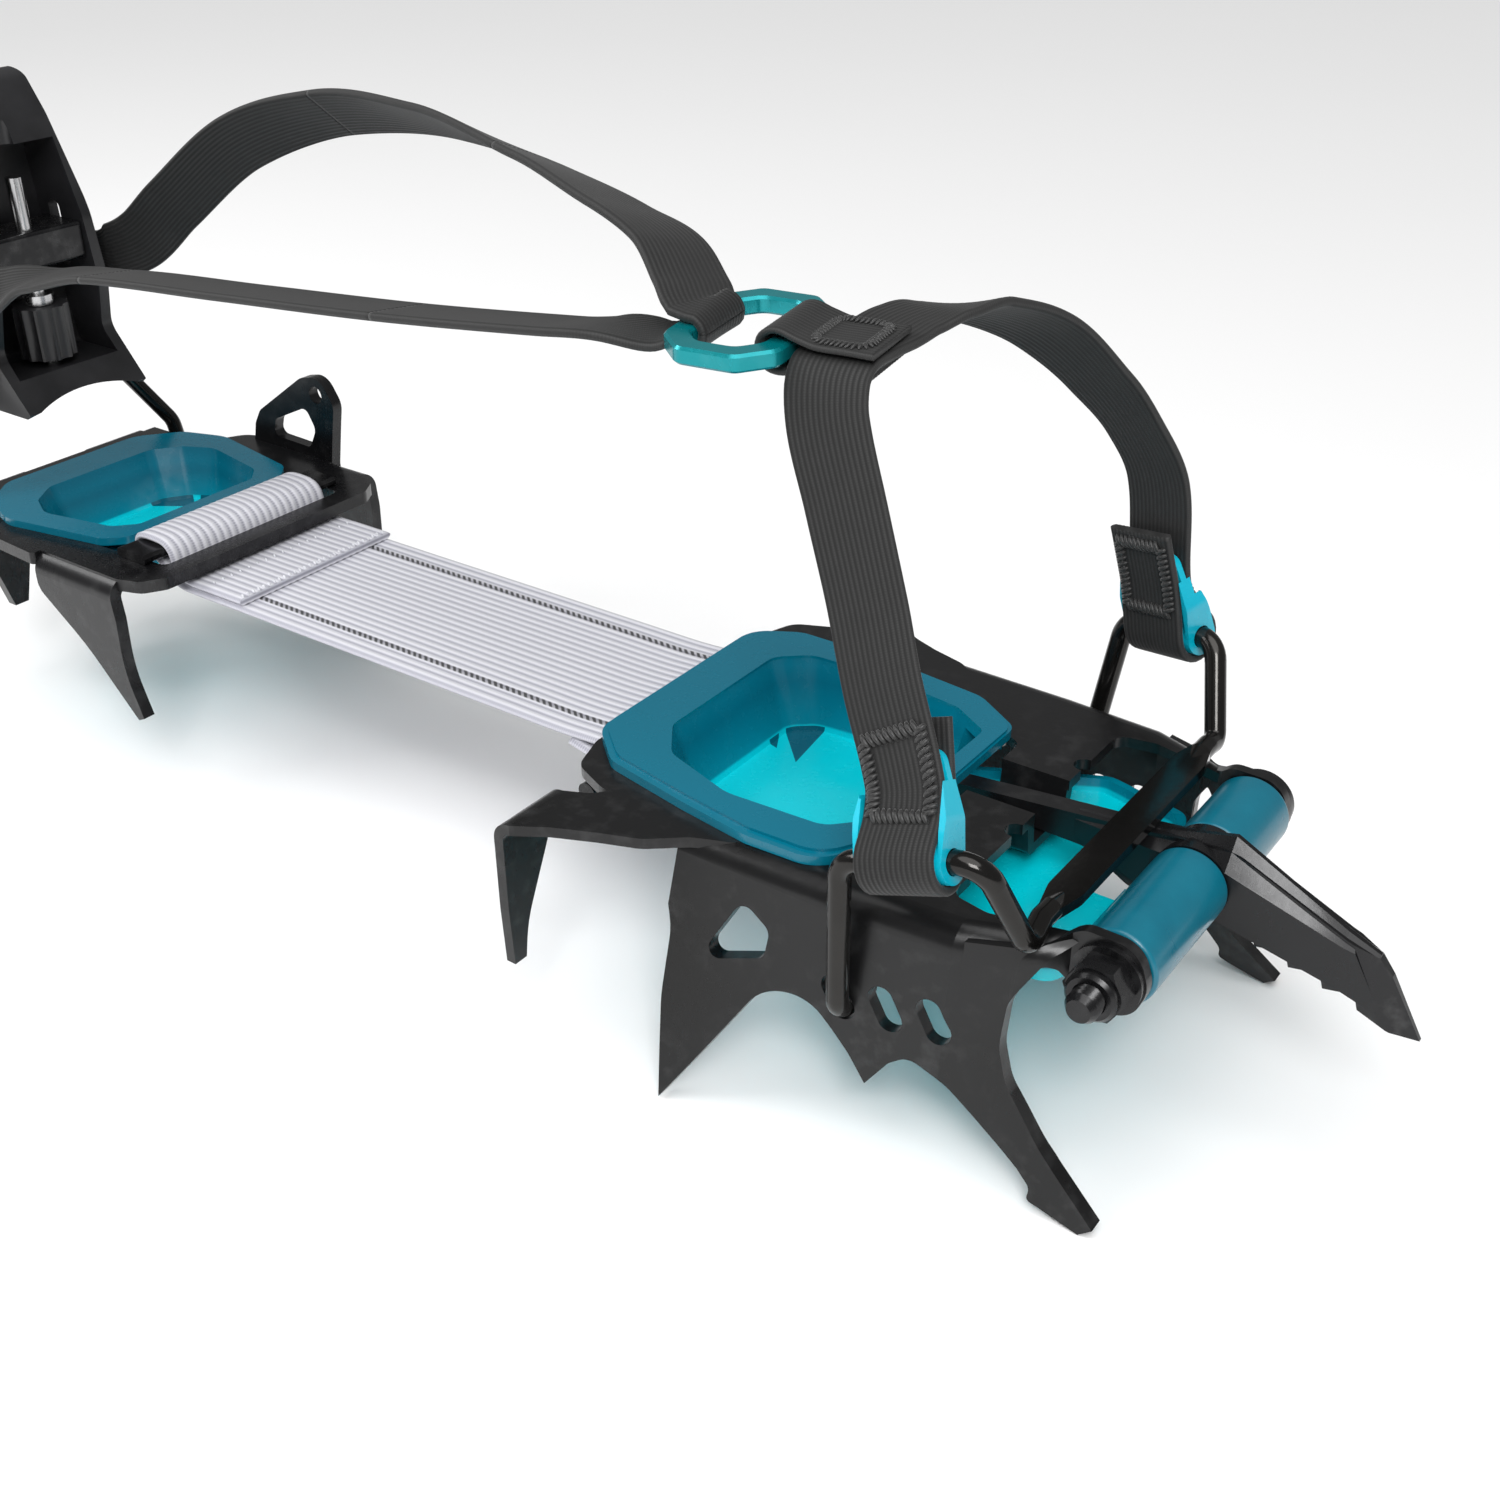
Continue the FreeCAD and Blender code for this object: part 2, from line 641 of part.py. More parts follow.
def front_tray():
    wall = 1.5
    floor = -14.3
    inner_rim = [(-46.5, 21, 4), (-58, 28.5, 9), (-83, 31.5, 14), (-104, 31.5, 7), (-113.6, 26, 7)]
    outer_rim = [(-46.5, 29, 4), (-53, 40.5, 8), (-68, 41, 10), (-84, 38.5, 14), (-104, 34.5, 7), (-113.6, 26, 7)]
    inner_top = [(-49, 17, 4), (-58, 22.5, 7), (-80, 25, 12), (-97, 24.5, 7), (-103.5, 19, 6)]
    outer_top = [(-49, 25, 4), (-56, 32.5, 7), (-80, 33.5, 12), (-97, 28, 7), (-103.5, 19, 6)]
    inner_low = [(-53, 15, 4), (-59, 19.5, 7), (-79, 22, 12), (-93, 21, 7), (-98, 17, 6)]
    outer_low = [(-53, 22, 4), (-58, 27.5, 7), (-79, 28.5, 12), (-93, 24, 7), (-98, 17, 6)]
    top_outline = two_sided(inner_top, outer_top)
    low_outline = two_sided(inner_low, outer_low)
    outer, inner = basin(top_outline, low_outline, 1.9, floor, wall)
    rim_outline = two_sided(inner_rim, outer_rim)
    rim = prism(rim_outline, "xy", 0.05, 1.9)
    bead = prism([(x * 0.985 - 1.1, y * 0.955, r) for x, y, r in rim_outline], "xy", 1.9, 2.5)
    skirt_inner = [(-49, 23, 5), (-60, 29, 8), (-82, 32, 12), (-100, 32, 8), (-102.5, 28, 6)]
    skirt_outer = [(-49, 32, 5), (-58, 38, 8), (-82, 38.5, 12), (-100, 35, 8), (-102.5, 28, 6)]
    skirt = prism(two_sided(skirt_inner, skirt_outer), "xy", -4.4, -2.9)
    pan_half = [(-9.5, 22, 4), (-12, 28.5, 4), (-30, 33, 5), (-58, 19, 4)]
    pan = prism(mirrored(pan_half), "xy", floor, -9.6)
    pan_inside = [(-11, 20.5, 3), (-13.3, 27, 3), (-30.5, 31.5, 4), (-57.5, 17.5, 3)]
    hollow = prism(mirrored(pan_inside), "xy", floor + wall, 0)
    tray = joined(outer, rim, bead, skirt, pan).cut(inner).cut(hollow)
    # The front point runs through a cut in the pan, and the strap rod's lugs clear the rim.
    offset = dim("blade_offset")
    blade_gap = [(-6, offset - 6.5), (-6, offset + 6.5), (-21, offset + 6.5, 5), (-21, offset - 6.5, 5)]
    tray = tray.cut(prism(blade_gap, "xy", floor - 2, 0))
    saddle_gap = block((CROSSMEMBER[0] - 0.6, CROSSMEMBER[1] + 0.6), (-40, 40), (-9.6, 0.4))
    tray = tray.cut(saddle_gap)
    return feature("front_antisnow_plate", tray)


front_tray()

HEEL_TOP = dim("alloy_sheet")


def heel_tray():
    wall = 1.5
    rim_half = [(-260.4, 24, 3), (-264.5, 28.5, 5), (-294, 34, 9), (-306, 30, 6), (-314, 20, 8)]
    top_half = [(-263, 19, 4), (-267.5, 24, 6), (-291, 28, 8), (-299, 24, 6), (-304, 17, 6)]
    low_half = [(-266, 17, 4), (-269.5, 21, 6), (-289, 24.5, 8), (-295, 21, 6), (-299, 15, 6)]
    outer, inner = basin(mirrored(top_half), mirrored(low_half), HEEL_TOP + 1.9, -9.5, wall)
    rim = prism(mirrored(rim_half), "xy", HEEL_TOP + 0.05, HEEL_TOP + 1.9)
    skirt_half = [(-262, 27.5, 4), (-270, 34.5, 6), (-293, 34.5, 8), (-303, 27, 5)]
    skirt = prism(mirrored(skirt_half), "xy", -1.6, -0.1)
    return feature("heel_antisnow_plate", joined(outer, rim, skirt).cut(inner))


# --- heel frame ---------------------------------------------------------------------------------

HEEL_REAR = -320.0
WIRE_PIVOT = V(-313.0, 0, -5.0)


def heel_frame():
    thickness = dim("alloy_sheet")
    inner_side = 43.5
    outer_side = 41.0
    front_half = [(-238.0, 31.5, 3), (-241, 36.5, 4), (-247, 38.5, 3), (-275, 38.5)]
    rear_half = [(-301.5, 28.4, 5), (-320.6, 28.4, 6)]
    inner_half = front_half + [(-275, inner_side, 3), (-294, 42.5, 6)] + rear_half
    outer_half = front_half + [(-275, outer_side, 3), (-292, 40.0, 6)] + rear_half
    plate = prism(two_sided(inner_half, outer_half), "xy", 0, thickness)
    gap = mirrored([(-243.6, 27.2, 2), (-262, 28.5, 4), (-292, 30.5, 6), (-301, 25, 5), (-307.5, 20, 5)])
    parts = [plate.cut(prism(gap, "xy", -2, thickness + 2))]
    bend = 5.0
    for side, face in ((-1, outer_side), (1, inner_side)):
        low, high = sorted((side * face, side * (face - thickness)))
        shelf = sorted((side * 35, side * (face - bend)))
        parts.append(block((-275, -247), shelf, (0, thickness)))
        centre = V(0, side * (face - bend), thickness - bend)
        roll = Part.makeCylinder(bend, 28, V(-275, centre.y, centre.z), V(1, 0, 0))
        roll = roll.cut(Part.makeCylinder(bend - thickness, 28, V(-275, centre.y, centre.z), V(1, 0, 0)))
        quarter_y = sorted((centre.y, side * 44))
        parts.append(roll.common(block((-275, -247), quarter_y, (thickness - bend, thickness))))
        tooth = [(-275, -2), (-247, -2), (-246.5, -7, 6), (-247.0, -20, 30), (-243.0, -31.6), (-245.2, -32.6)]
        tooth += [(-260, -17, 60), (-275, -6, 4)]
        parts.append(prism(tooth, "xz", low, high))
        # Rear teeth fold down from the rear edge.
        rear_low, rear_high = sorted((side * 10, side * 27))
        edge = V(HEEL_REAR, 0, thickness - bend)
        roll = cylinder(bend, edge, Y_AXIS, rear_low, rear_high)
        roll = roll.cut(cylinder(bend - thickness, edge, Y_AXIS, rear_low, rear_high))
        quarter = block((HEEL_REAR - 6, HEEL_REAR), (rear_low, rear_high), (thickness - bend, thickness))
        parts.append(roll.common(quarter))
        parts.append(block((HEEL_REAR - 0.2, HEEL_REAR + 3), (rear_low, rear_high), (0, thickness)))
        rear_tooth = [(10, -2), (27, -2), (27, -8, 5), (20.5, -32), (16.5, -32), (11.5, -14, 20), (10, -8, 4)]
        points = [(side * y, z) + tuple(rest) for y, z, *rest in rear_tooth]
        parts.append(prism(points, "yz", HEEL_REAR - bend, HEEL_REAR - bend + thickness))
        # Small side flange with the heel wire's pivot hole.
        flange_y = sorted((side * 28.4, side * 31.0))
        flange = prism([(-320, 2.9), (-306, 2.9), (-307, -8, 4), (-313, -10.5, 4), (-319, -8, 4)], "xz", *flange_y)
        parts.append(flange)
        tie = sorted((side * 25, side * 31.0))
        parts.append(block((-320, -306), tie, (0.2, 2.9)))
    ear = [(-290, 2), (-260, 2), (-258, 12, 6), (-256.5, 19, 5), (-261.0, 26, 5), (-268, 24.5, 6)]
    ear += [(-286, 12.0, 4), (-288.5, 8, 4)]
    ear_plate = prism(ear, "xz", inner_side - thickness + 0.1, inner_side + 0.1)
    window = [(-281.5, 6.0, 2), (-267.5, 5.5, 2), (-264.5, 11, 3), (-267.5, 16.5, 2), (-280, 10.8, 2)]
    ear_plate = ear_plate.cut(prism(window, "xz", 30, 50))
    ear_plate = ear_plate.cut(cylinder(dim("ear_hole_radius"), V(-263.0, 42, 20.8), Y_AXIS, -6, 6))
    root = block((-290, -260), (37, inner_side + 0.1), (0, thickness))
    frame = joined(*parts, root, ear_plate)
    pivot_hole = dim("heel_wire_radius") + dim("running_gap")
    frame = frame.cut(cylinder(pivot_hole, WIRE_PIVOT, Y_AXIS, -40, 40))
    return feature("heel_frame", frame)


heel_frame()
heel_tray()


# --- linking strap, its rod and its bar -----------------------------------------------------------------

HEEL_BAR = V(-252.0, 0, HEEL_TOP + dim("heel_bar_height") / 2 + 0.1)


def front_strap_rod():
    """A plain steel rod across the strap, drawn as a bound primitive."""
    rod = doc.addObject("Part::Cylinder", "front_strap_rod")
    rod.Label = "front_strap_rod"
    rod.setExpression("Radius", "dims.rod_radius")
    rod.setExpression("Height", "dims.front_rod_length")
    start = ROD_FRONT - Y_AXIS * (dim("front_rod_length") / 2)
    rod.Placement = FreeCAD.Placement(start, FreeCAD.Rotation(V(1, 0, 0), -90))
    subparts.append(rod)
    return rod


def bar_section(grow):
    """Outline of the flat bar seen from the side, grown all round."""
    half = dim("heel_bar_width") / 2 + grow
    rise = dim("heel_bar_height") / 2 + grow
    low, high = HEEL_BAR.z - rise, HEEL_BAR.z + rise
    corner = 0.8 + grow
    rear, front = HEEL_BAR.x - half, HEEL_BAR.x + half
    return [(rear, low, corner), (front, low, corner), (front, high, corner), (rear, high, corner)]


def heel_strap_bar():
    """A flat steel bar with eased edges that rests on both sides of the heel frame's opening."""
    half = dim("heel_bar_length") / 2
    return feature("heel_strap_bar", prism(bar_section(0), "xz", -half, half))


def linking_strap():
    """One flat strap seen from the side: a loop at each end and a doubled end at the heel."""
    width = dim("link_width")
    thickness = dim("link_thickness")
    inner = dim("rod_radius") + 0.3
    outer = inner + thickness
    crest = HEEL_BAR.z + dim("heel_bar_height") / 2 + 0.1 + thickness
    run = [
        (ROD_FRONT.x, ROD_FRONT.z + outer),
        (-122, -3.2, 20),
        (-221.8, -3.2),
        (-222.2, -1.2),
        (-243.9, -1.2, 1),
        (-244.3, 4.2, 3),
        (-247.5, crest, 4),
        (-258.2, crest, 2.6),
        (-259.4, 1.0, 2.4),
        (-252.5, 0.9, 5),
        (-248.5, -4.9, 6),
        (-133, -5.0),
        (-133.3, -6.9),
        (-122, -6.9),
        (ROD_FRONT.x, ROD_FRONT.z - outer),
    ]
    flat = prism(run, "xz", -width / 2, width / 2)
    strap = joined(flat, cylinder(outer, ROD_FRONT, Y_AXIS, -width / 2, width / 2))
    strap = strap.cut(cylinder(inner, ROD_FRONT, Y_AXIS, -width, width))
    strap = strap.cut(prism(bar_section(0.1), "xz", -width, width))
    return feature("linking_strap", strap)


front_strap_rod()
heel_strap_bar()
linking_strap()


# --- toe bail and harness -----------------------------------------------------------------------

# The wire's ends hang in the lower end of the rearmost slots.
SLOT_REACH = (dim("bail_slot_length") - dim("bail_slot_width")) / 2
BAIL_PIVOT = V(-dim("bail_pivot_back"), 0, -dim("bail_pivot_drop")) + SLOT_LEAN * SLOT_REACH
# Corners of the wire's raised loops, outer side then inner side; the inner one is splayed.
LOOPS = {
    -1: (V(-42.0, -50.0, 11.5), V(-16.5, -49.0, 20.5), V(-11.0, -41.0, 1.6)),
    1: (V(-39.6, 54.6, 14.4), V(-17.7, 47.0, 18.9), V(-12.0, 38.6, 2.2)),
}
BAR_CENTRE = V(-12.0, 0, 3.0)


def sided(point, side):
    return V(point.x, side * point.y, point.z)


def toe_bail():
    """One wire: a hook in each slot, a raised loop each side and a flattened bar between."""
    radius = dim("bail_wire_radius")
    taper_tip = 0.8
    taper_length = 5.0
    bar_half = 3.2
    tip_half = 1.6
    bar_rise = 1.05
    shapes = []
    for side in (-1, 1):
        rear, front, low = LOOPS[side]
        points = [
            V(BAIL_PIVOT.x, side * 37.5, BAIL_PIVOT.z),
            V(BAIL_PIVOT.x, side * 47.6, BAIL_PIVOT.z),
            rear,
            front,
            low,
            V(BAR_CENTRE.x, side * 34.5, BAR_CENTRE.z),
            V(BAR_CENTRE.x, side * 31.0, BAR_CENTRE.z),
        ]
        radii = [0, 4.0, 5.2, 5.2, 3.0, 2.5, 0]
        shapes.append(tube(points, radii, radius))
        taper = Part.makeCone(radius, taper_tip, taper_length, points[-1], -Y_AXIS * side)
        shapes.append(taper)
    # The middle is pressed flat, and its ends narrow into the round wire.
    plan = [(bar_half, 26.0, 6), (tip_half, 33.0), (-tip_half, 33.0), (-bar_half, 26.0, 6)]
    plan += [(-x, -y, *rest) for x, y, *rest in plan]
    plan = [(BAR_CENTRE.x + x, y, *rest) for x, y, *rest in plan]
    bar = prism(plan, "xy", BAR_CENTRE.z - bar_rise, BAR_CENTRE.z + bar_rise)
    return feature("toe_bail", joined(bar, *shapes))


# Toe strap stations from the outer thimble over the top to the inner thimble.
TOE_STRAP = (
    (V(-31.2, -47.6, 21.6), V(0.93, 0.05, 0.33)),
    (V(-34.8, -44.9, 28.3), V(0.93, 0.05, 0.33)),
    (V(-41.5, -39.6, 40.2), V(0.93, 0.06, 0.32)),
    (V(-47.6, -35.0, 51.0), V(0.93, 0.08, 0.30)),
    (V(-54.8, -31.0, 65.3), V(0.93, 0.10, 0.25)),
    (V(-60.2, -28.2, 76.5), V(0.95, 0.12, 0.15)),
    (V(-61.8, -26.3, 82.4), V(0.99, 0.11, 0.03)),
    (V(-62.2, -23.6, 85.3), V(0.993, 0.113, 0.0)),
    (V(-62.5, -17.0, 85.9), V(0.993, 0.113, 0.0)),
    (V(-62.0, -10.0, 86.3), V(0.993, 0.113, 0.0)),
    (V(-60.8, -3.0, 87.4), V(0.96, 0.26, 0.03)),
    (V(-58.4, 4.0, 87.8), V(0.95, 0.28, 0.06)),
    (V(-55.4, 13.5, 86.0), V(0.93, 0.14, 0.26)),
    (V(-49.4, 26.0, 80.0), V(0.89, -0.08, 0.42)),
    (V(-42.5, 36.5, 69.0), V(0.88, -0.22, 0.38)),
    (V(-37.2, 43.4, 58.5), V(0.89, -0.31, 0.28)),
    (V(-33.4, 47.0, 48.5), V(0.92, -0.31, 0.22)),
    (V(-31.2, 49.0, 36.0), V(0.925, -0.32, 0.19)),
    (V(-29.9, 50.2, 26.4), V(0.925, -0.32, 0.19)),
)


TOE_WEBBING = band(TOE_STRAP, dim("webbing_width"), dim("webbing_thickness"))


def thimble(label, side):
    """Moulded sleeve on the bail wire with a tapered tongue, lipped beside the webbing."""
    wire = dim("bail_wire_radius") + 0.15
    outer = wire + 1.5
    sleeve_half = 8.3
    sleeve = Part.makeCylinder(outer, 2 * sleeve_half, V(-sleeve_half, 0, 0), V(1, 0, 0))
    plate = [(-sleeve_half, 0), (sleeve_half, 0), (8.9, 7, 4), (6.6, 18, 2.5), (-6.6, 18, 2.5), (-8.9, 7, 4)]
    tongue = prism(plate, "xz", -2.3, -0.9)
    # The lips stand out either side of the webbing's width and thin out up the tongue.
    web_half = dim("webbing_width") / 2 + 0.15
    lips = prism(plate, "xz", -outer, outer).cut(block((-web_half, web_half), (-9, 9), (-1, 20)))
    wedge = [(-outer, 0), (outer, 0), (2.9, 5, 4), (0.2, 15), (-3.0, 15), (-3.5, 5, 4)]
    lips = lips.common(prism(wedge, "yz", -2 * sleeve_half, 2 * sleeve_half))
    part = joined(sleeve, tongue, lips)
    part = part.cut(Part.makeCylinder(wire, 4 * sleeve_half, V(-2 * sleeve_half, 0, 0), V(1, 0, 0)))
    rear, front, low = LOOPS[side]
    stations = TOE_STRAP if side < 0 else tuple(reversed(TOE_STRAP))
    leave = stations[2][0] - stations[0][0]
    along = front - rear
    square = leave - along * (leave.dot(along) / along.dot(along))
    centre = (rear + front) * 0.5
    part.Placement = frame_placement(centre, along * side, square)
    # The webbing presses into the tongue's face: what it leaves is the one moulding.
    moulding = max(part.cut(TOE_WEBBING).Solids, key=lambda solid: solid.Volume)
    return feature(label, moulding)


RING_CENTRE = V(-81.9, -19.2, 86.2)
RING_AHEAD = V(0.993, 0.113, 0.0)
RING_NORMAL = V(0.0, -0.06, 1.0)


def harness_ring():
    """Rounded eight-sided ring, padded from one sketch of two outlines."""
    placement = frame_placement(RING_CENTRE, RING_AHEAD, RING_NORMAL)
    ring = body("harness_ring", placement)
    length = dim("ring_length") / 2
    width = dim("ring_width") / 2
    bar = dim("ring_bar")
    cut_corner = 5.5

    def octagon(grow, corner_cut):
        side_x = width - grow
        side_y = length - grow
        quarter = [(side_x, side_y - corner_cut), (side_x - corner_cut, side_y)]
        half = quarter + [(-x, y) for x, y in reversed(quarter)]
        return half + [(-x, -y) for x, y in half]

    sketch = sketch_on(ring, "XY_Plane", "ring_outline")
    add_polygon(sketch, octagon(0, cut_corner))
    add_polygon(sketch, octagon(bar, cut_corner * 0.6))
    raised = pad(ring, sketch, "ring_pad", "dims.ring_height")
    raised.Midplane = True
    doc.recompute()
    height = dim("ring_height")
    upright = []
    for index, edge in enumerate(raised.Shape.Edges, start=1):
        if abs(edge.Length - height) < 0.01:
            upright.append(f"Edge{index}")
    corners = ring.newObject("PartDesign::Fillet", "ring_corners")
    corners.Base = (raised, upright)
    corners.Radius = 3.0
    doc.recompute()
    up = placement.Rotation.multVec(Z_AXIS)
    rims = []
    for index, edge in enumerate(corners.Shape.Edges, start=1):
        levels = [abs(v.Point.dot(up)) for v in edge.Vertexes]
        if abs(edge.Length - height) > 0.01 or max(levels) - min(levels) < 0.01:
            rims.append(f"Edge{index}")
    softened = ring.newObject("PartDesign::Chamfer", "ring_rims")
    softened.Base = (corners, rims)
    softened.Size = 0.5
    doc.recompute()
    return ring


def strap_tab():
    """Sewn keeper: webbing folded round the ring's front bar, its two layers over the strap."""
    bar_reach = dim("ring_width") / 2 - dim("ring_bar") / 2
    ahead = V(RING_AHEAD)
    ahead.normalize()
    bar = RING_CENTRE + ahead * bar_reach
    half = dim("webbing_width") / 2
    fold = 4.1
    fold_inside = 2.9
    skin = 2.2
    gap = 1.0
    end = 17.6
    side = [(0, fold), (6, skin, 4), (end, skin), (end, -skin), (6, -skin, 4), (0, -fold)]
    inside = [(0, fold_inside), (5, gap, 3), (end + 2, gap), (end + 2, -gap), (5, -gap, 3), (0, -fold_inside)]
    solid = prism(side, "xz", -half, half).fuse(Part.makeCylinder(fold, 2 * half, V(0, -half, 0), Y_AXIS))
    hollow = prism(inside, "xz", -2 * half, 2 * half)
    hollow = hollow.fuse(Part.makeCylinder(fold_inside, 4 * half, V(0, -2 * half, 0), Y_AXIS))
    keeper = solid.cut(hollow)
    keeper.Placement = frame_placement(bar, RING_AHEAD, RING_NORMAL)
    return feature("strap_tab", keeper.cut(TOE_WEBBING))


toe_bail()
thimble("outer_thimble", -1)
thimble("inner_thimble", 1)
feature("toe_strap", TOE_WEBBING)
strap_tab()
harness_ring()


# --- heel wire and lever ------------------------------------------------------------------------

CROSS_RUN = V(-320.5, 0, 60.0)
SCREW_X = -314.5


def heel_wire():
    """Bent wire from one pivot flange up through the lever and down to the other."""
    points = [
        V(WIRE_PIVOT.x, 26.0, WIRE_PIVOT.z),
        V(WIRE_PIVOT.x, 34.0, WIRE_PIVOT.z),
        V(WIRE_PIVOT.x - 2.5, 34.0, 5.0),
        V(CROSS_RUN.x, 21.5, 25.0),
        V(CROSS_RUN.x, 21.5, CROSS_RUN.z),
    ]
    radii = [0, 2.8, 6.0, 8.0, 3.5]
    whole = points + [sided(p, -1) for p in reversed(points)]
    return feature("heel_wire", tube(whole, radii + radii[::-1], dim("heel_wire_radius")))


def heel_lever():
    """Channel-shaped lever: flared foot, back wall, side walls with wire slots and a strap bar."""
    half = dim("lever_half")
    side_view = [
        (-300.8, 24.5),
        (-303.5, 22.3),
        (-318, 23.0, 6),
        (-327, 30, 10),
        (-331.5, 60, 60),
        (-333, 98, 3),
        (-321, 101, 4),
        (-316, 90, 10),
        (-309.5, 66, 14),
        (-308.2, 50, 14),
        (-311.2, 37, 5),
    ]
    shell = prism(side_view, "xz", -half, half)
    taper = [(-half - 0.4, 20), (half + 0.4, 20), (half, 36, 20), (half - 1.5, 70, 40), (12.0, 101, 4)]
    taper += [(-12.0, 101, 4), (-half + 1.5, 70, 40), (-half, 36, 20)]
    shell = shell.common(prism(taper, "yz", -340, -290))
    # The foot's lower edge curves up in the middle to sit on a boot's heel.
    shell = shell.cut(cylinder(46.0, V(-310, 0, -19.2), V(1, 0, 0), -30, 30))
    wall = 2.8
    channel_view = [(-290, 31.5), (-322, 31.5, 2), (-326.5, 60, 30), (-327.5, 84.5, 3), (-290, 84.5)]
    taper_in = [(y - math.copysign(wall, y), z) for y, z in ((-half, 30), (half, 30), (half - 1.8, 88), (-half + 1.8, 88))]
    hollow = prism(channel_view, "xz", -half, half).common(prism(taper_in, "yz", -340, -280))
    shell = shell.cut(hollow)
    gap = dim("running_gap")
    slot_half = dim("heel_wire_radius") + 0.2
    x = CROSS_RUN.x
    slot = [(x - slot_half, 52, 2), (x + slot_half, 52, 2), (x + slot_half, 68.5, 2), (x - slot_half, 68.5, 2)]
    shell = shell.cut(prism(slot, "xz", -half - 2, half + 2))
    screw_hole = cylinder(dim("screw_radius") + gap, V(SCREW_X, 0, 0), Z_AXIS, 26.9, 90)
    shell = shell.cut(screw_hole)
    return feature("heel_lever", shell.removeSplitter())


def lever_carriage():
    """Threaded block that carries the wire's cross run up and down the screw."""
    z = CROSS_RUN.z
    block_points = [(-324.0, z - 4.5, 1), (-310.5, z - 4.5, 1), (-310.5, z + 4.5, 1), (-324.0, z + 4.5, 1)]
    part = prism(block_points, "xz", -13.2, 13.2)
    gap = dim("running_gap")
    part = part.cut(cylinder(dim("heel_wire_radius") + gap, CROSS_RUN, Y_AXIS, -20, 20))
    screw = cylinder(dim("screw_radius") + gap, V(SCREW_X, 0, z), Z_AXIS, -10, 10)
    return feature("lever_carriage", part.cut(screw))


def adjuster_screw():
    """Screw through the channel, drawn as bound primitives and fused."""
    shank = doc.addObject("Part::Cylinder", "screw_shank")
    shank.setExpression("Radius", "dims.screw_radius")
    shank.setExpression("Height", "dims.screw_length")
    shank.Placement = FreeCAD.Placement(V(SCREW_X, 0, 27.2), FreeCAD.Rotation())
    collar = doc.addObject("Part::Cylinder", "screw_collar")
    collar.setExpression("Radius", "dims.screw_radius * 1.9")
    collar.Height = 2.4
    collar.Placement = FreeCAD.Placement(V(SCREW_X, 0, 46.4), FreeCAD.Rotation())
    screw = doc.addObject("Part::Fuse", "adjuster_screw")
    screw.Label = "adjuster_screw"
    screw.Base = shank
    screw.Tool = collar
    subparts.append(screw)
    return screw


def adjuster_knob():
    """Fluted knob: a padded disc with a ring of shallow scallops."""
    knob = body("adjuster_knob", FreeCAD.Placement(V(SCREW_X, 0, 33.2), FreeCAD.Rotation()))
    section = sketch_on(knob, "XY_Plane", "knob_section")
    add_circle(section, "knob_radius")
    add_circle(section, "screw_radius")
    solid = pad(knob, section, "knob_pad", "dims.knob_height")
    doc.recompute()
    flute = sketch_on(knob, "XY_Plane", "knob_flute")
    circle = Part.Circle(V(dim("knob_radius") + 1.6, 0, 0), Z_AXIS, 2.3)
    flute.addGeometry(circle, False)
    cut = knob.newObject("PartDesign::Pocket", "knob_flute_cut")
    cut.Profile = flute
    cut.Type = "ThroughAll"
    cut.Midplane = True
    doc.recompute()
    before = solid.Shape.Volume
    if cut.Shape.Volume >= before:
        raise RuntimeError("the knob's flute cut nothing")
    pattern = knob.newObject("PartDesign::PolarPattern", "knob_flutes")
    pattern.Originals = [cut]
    pattern.Axis = (section, ["N_Axis"])
    pattern.Angle = 360
    pattern.Occurrences = 12
    knob.Tip = pattern
    doc.recompute()
    return knob


heel_wire()
heel_lever()
lever_carriage()
adjuster_screw()
adjuster_knob()


# --- ankle strap --------------------------------------------------------------------------------

# Each run goes from the ring to the lever, and each is sewn up from three lengths.
OUTER_RUN = (
    (V(-95.6, -27.0, 85.4), V(0.0, 0.99, -0.06)),
    (V(-106.0, -28.0, 84.4), V(0.0, 0.993, -0.10)),
    (V(-115.4, -29.0, 83.3), V(0.0, 0.993, -0.12)),
    (V(-157.0, -27.0, 78.0), V(0.0, 0.99, -0.12)),
    (V(-205.0, -24.5, 73.0), V(0.0, 0.99, -0.12)),
    (V(-251.5, -22.6, 68.3), V(0.0, 0.99, -0.12)),
    (V(-275.0, -22.6, 63.6), V(0.0, 0.98, 0.10)),
    (V(-291.0, -24.2, 58.8), V(0.0, 0.80, 0.60)),
    (V(-304.0, -26.6, 55.0), V(0.0, 0.30, 0.95)),
    (V(-316.0, -26.4, 53.4), V(0.0, 0.0, 1.0)),
)
INNER_RUN = (
    (V(-96.0, -11.0, 90.2), V(0.22, 0.97, 0.0)),
    (V(-107.7, -8.0, 95.0), V(0.40, 0.88, -0.20)),
    (V(-123.9, -2.0, 97.4), V(0.44, 0.85, -0.28)),
    (V(-150.0, 8.0, 99.5), V(0.42, 0.82, -0.38)),
    (V(-190.0, 20.0, 101.0), V(0.25, 0.80, -0.55)),
    (V(-230.0, 28.0, 97.0), V(0.05, 0.70, -0.71)),
    (V(-265.0, 29.5, 86.0), V(0.0, 0.50, -0.86)),
    (V(-292.0, 28.0, 68.0), V(-0.30, 0.30, -0.90)),
    (V(-305.0, 26.8, 58.0), V(-0.40, 0.10, -0.91)),
    (V(-316.0, 26.4, 53.4), V(0.0, 0.0, -1.0)),
)


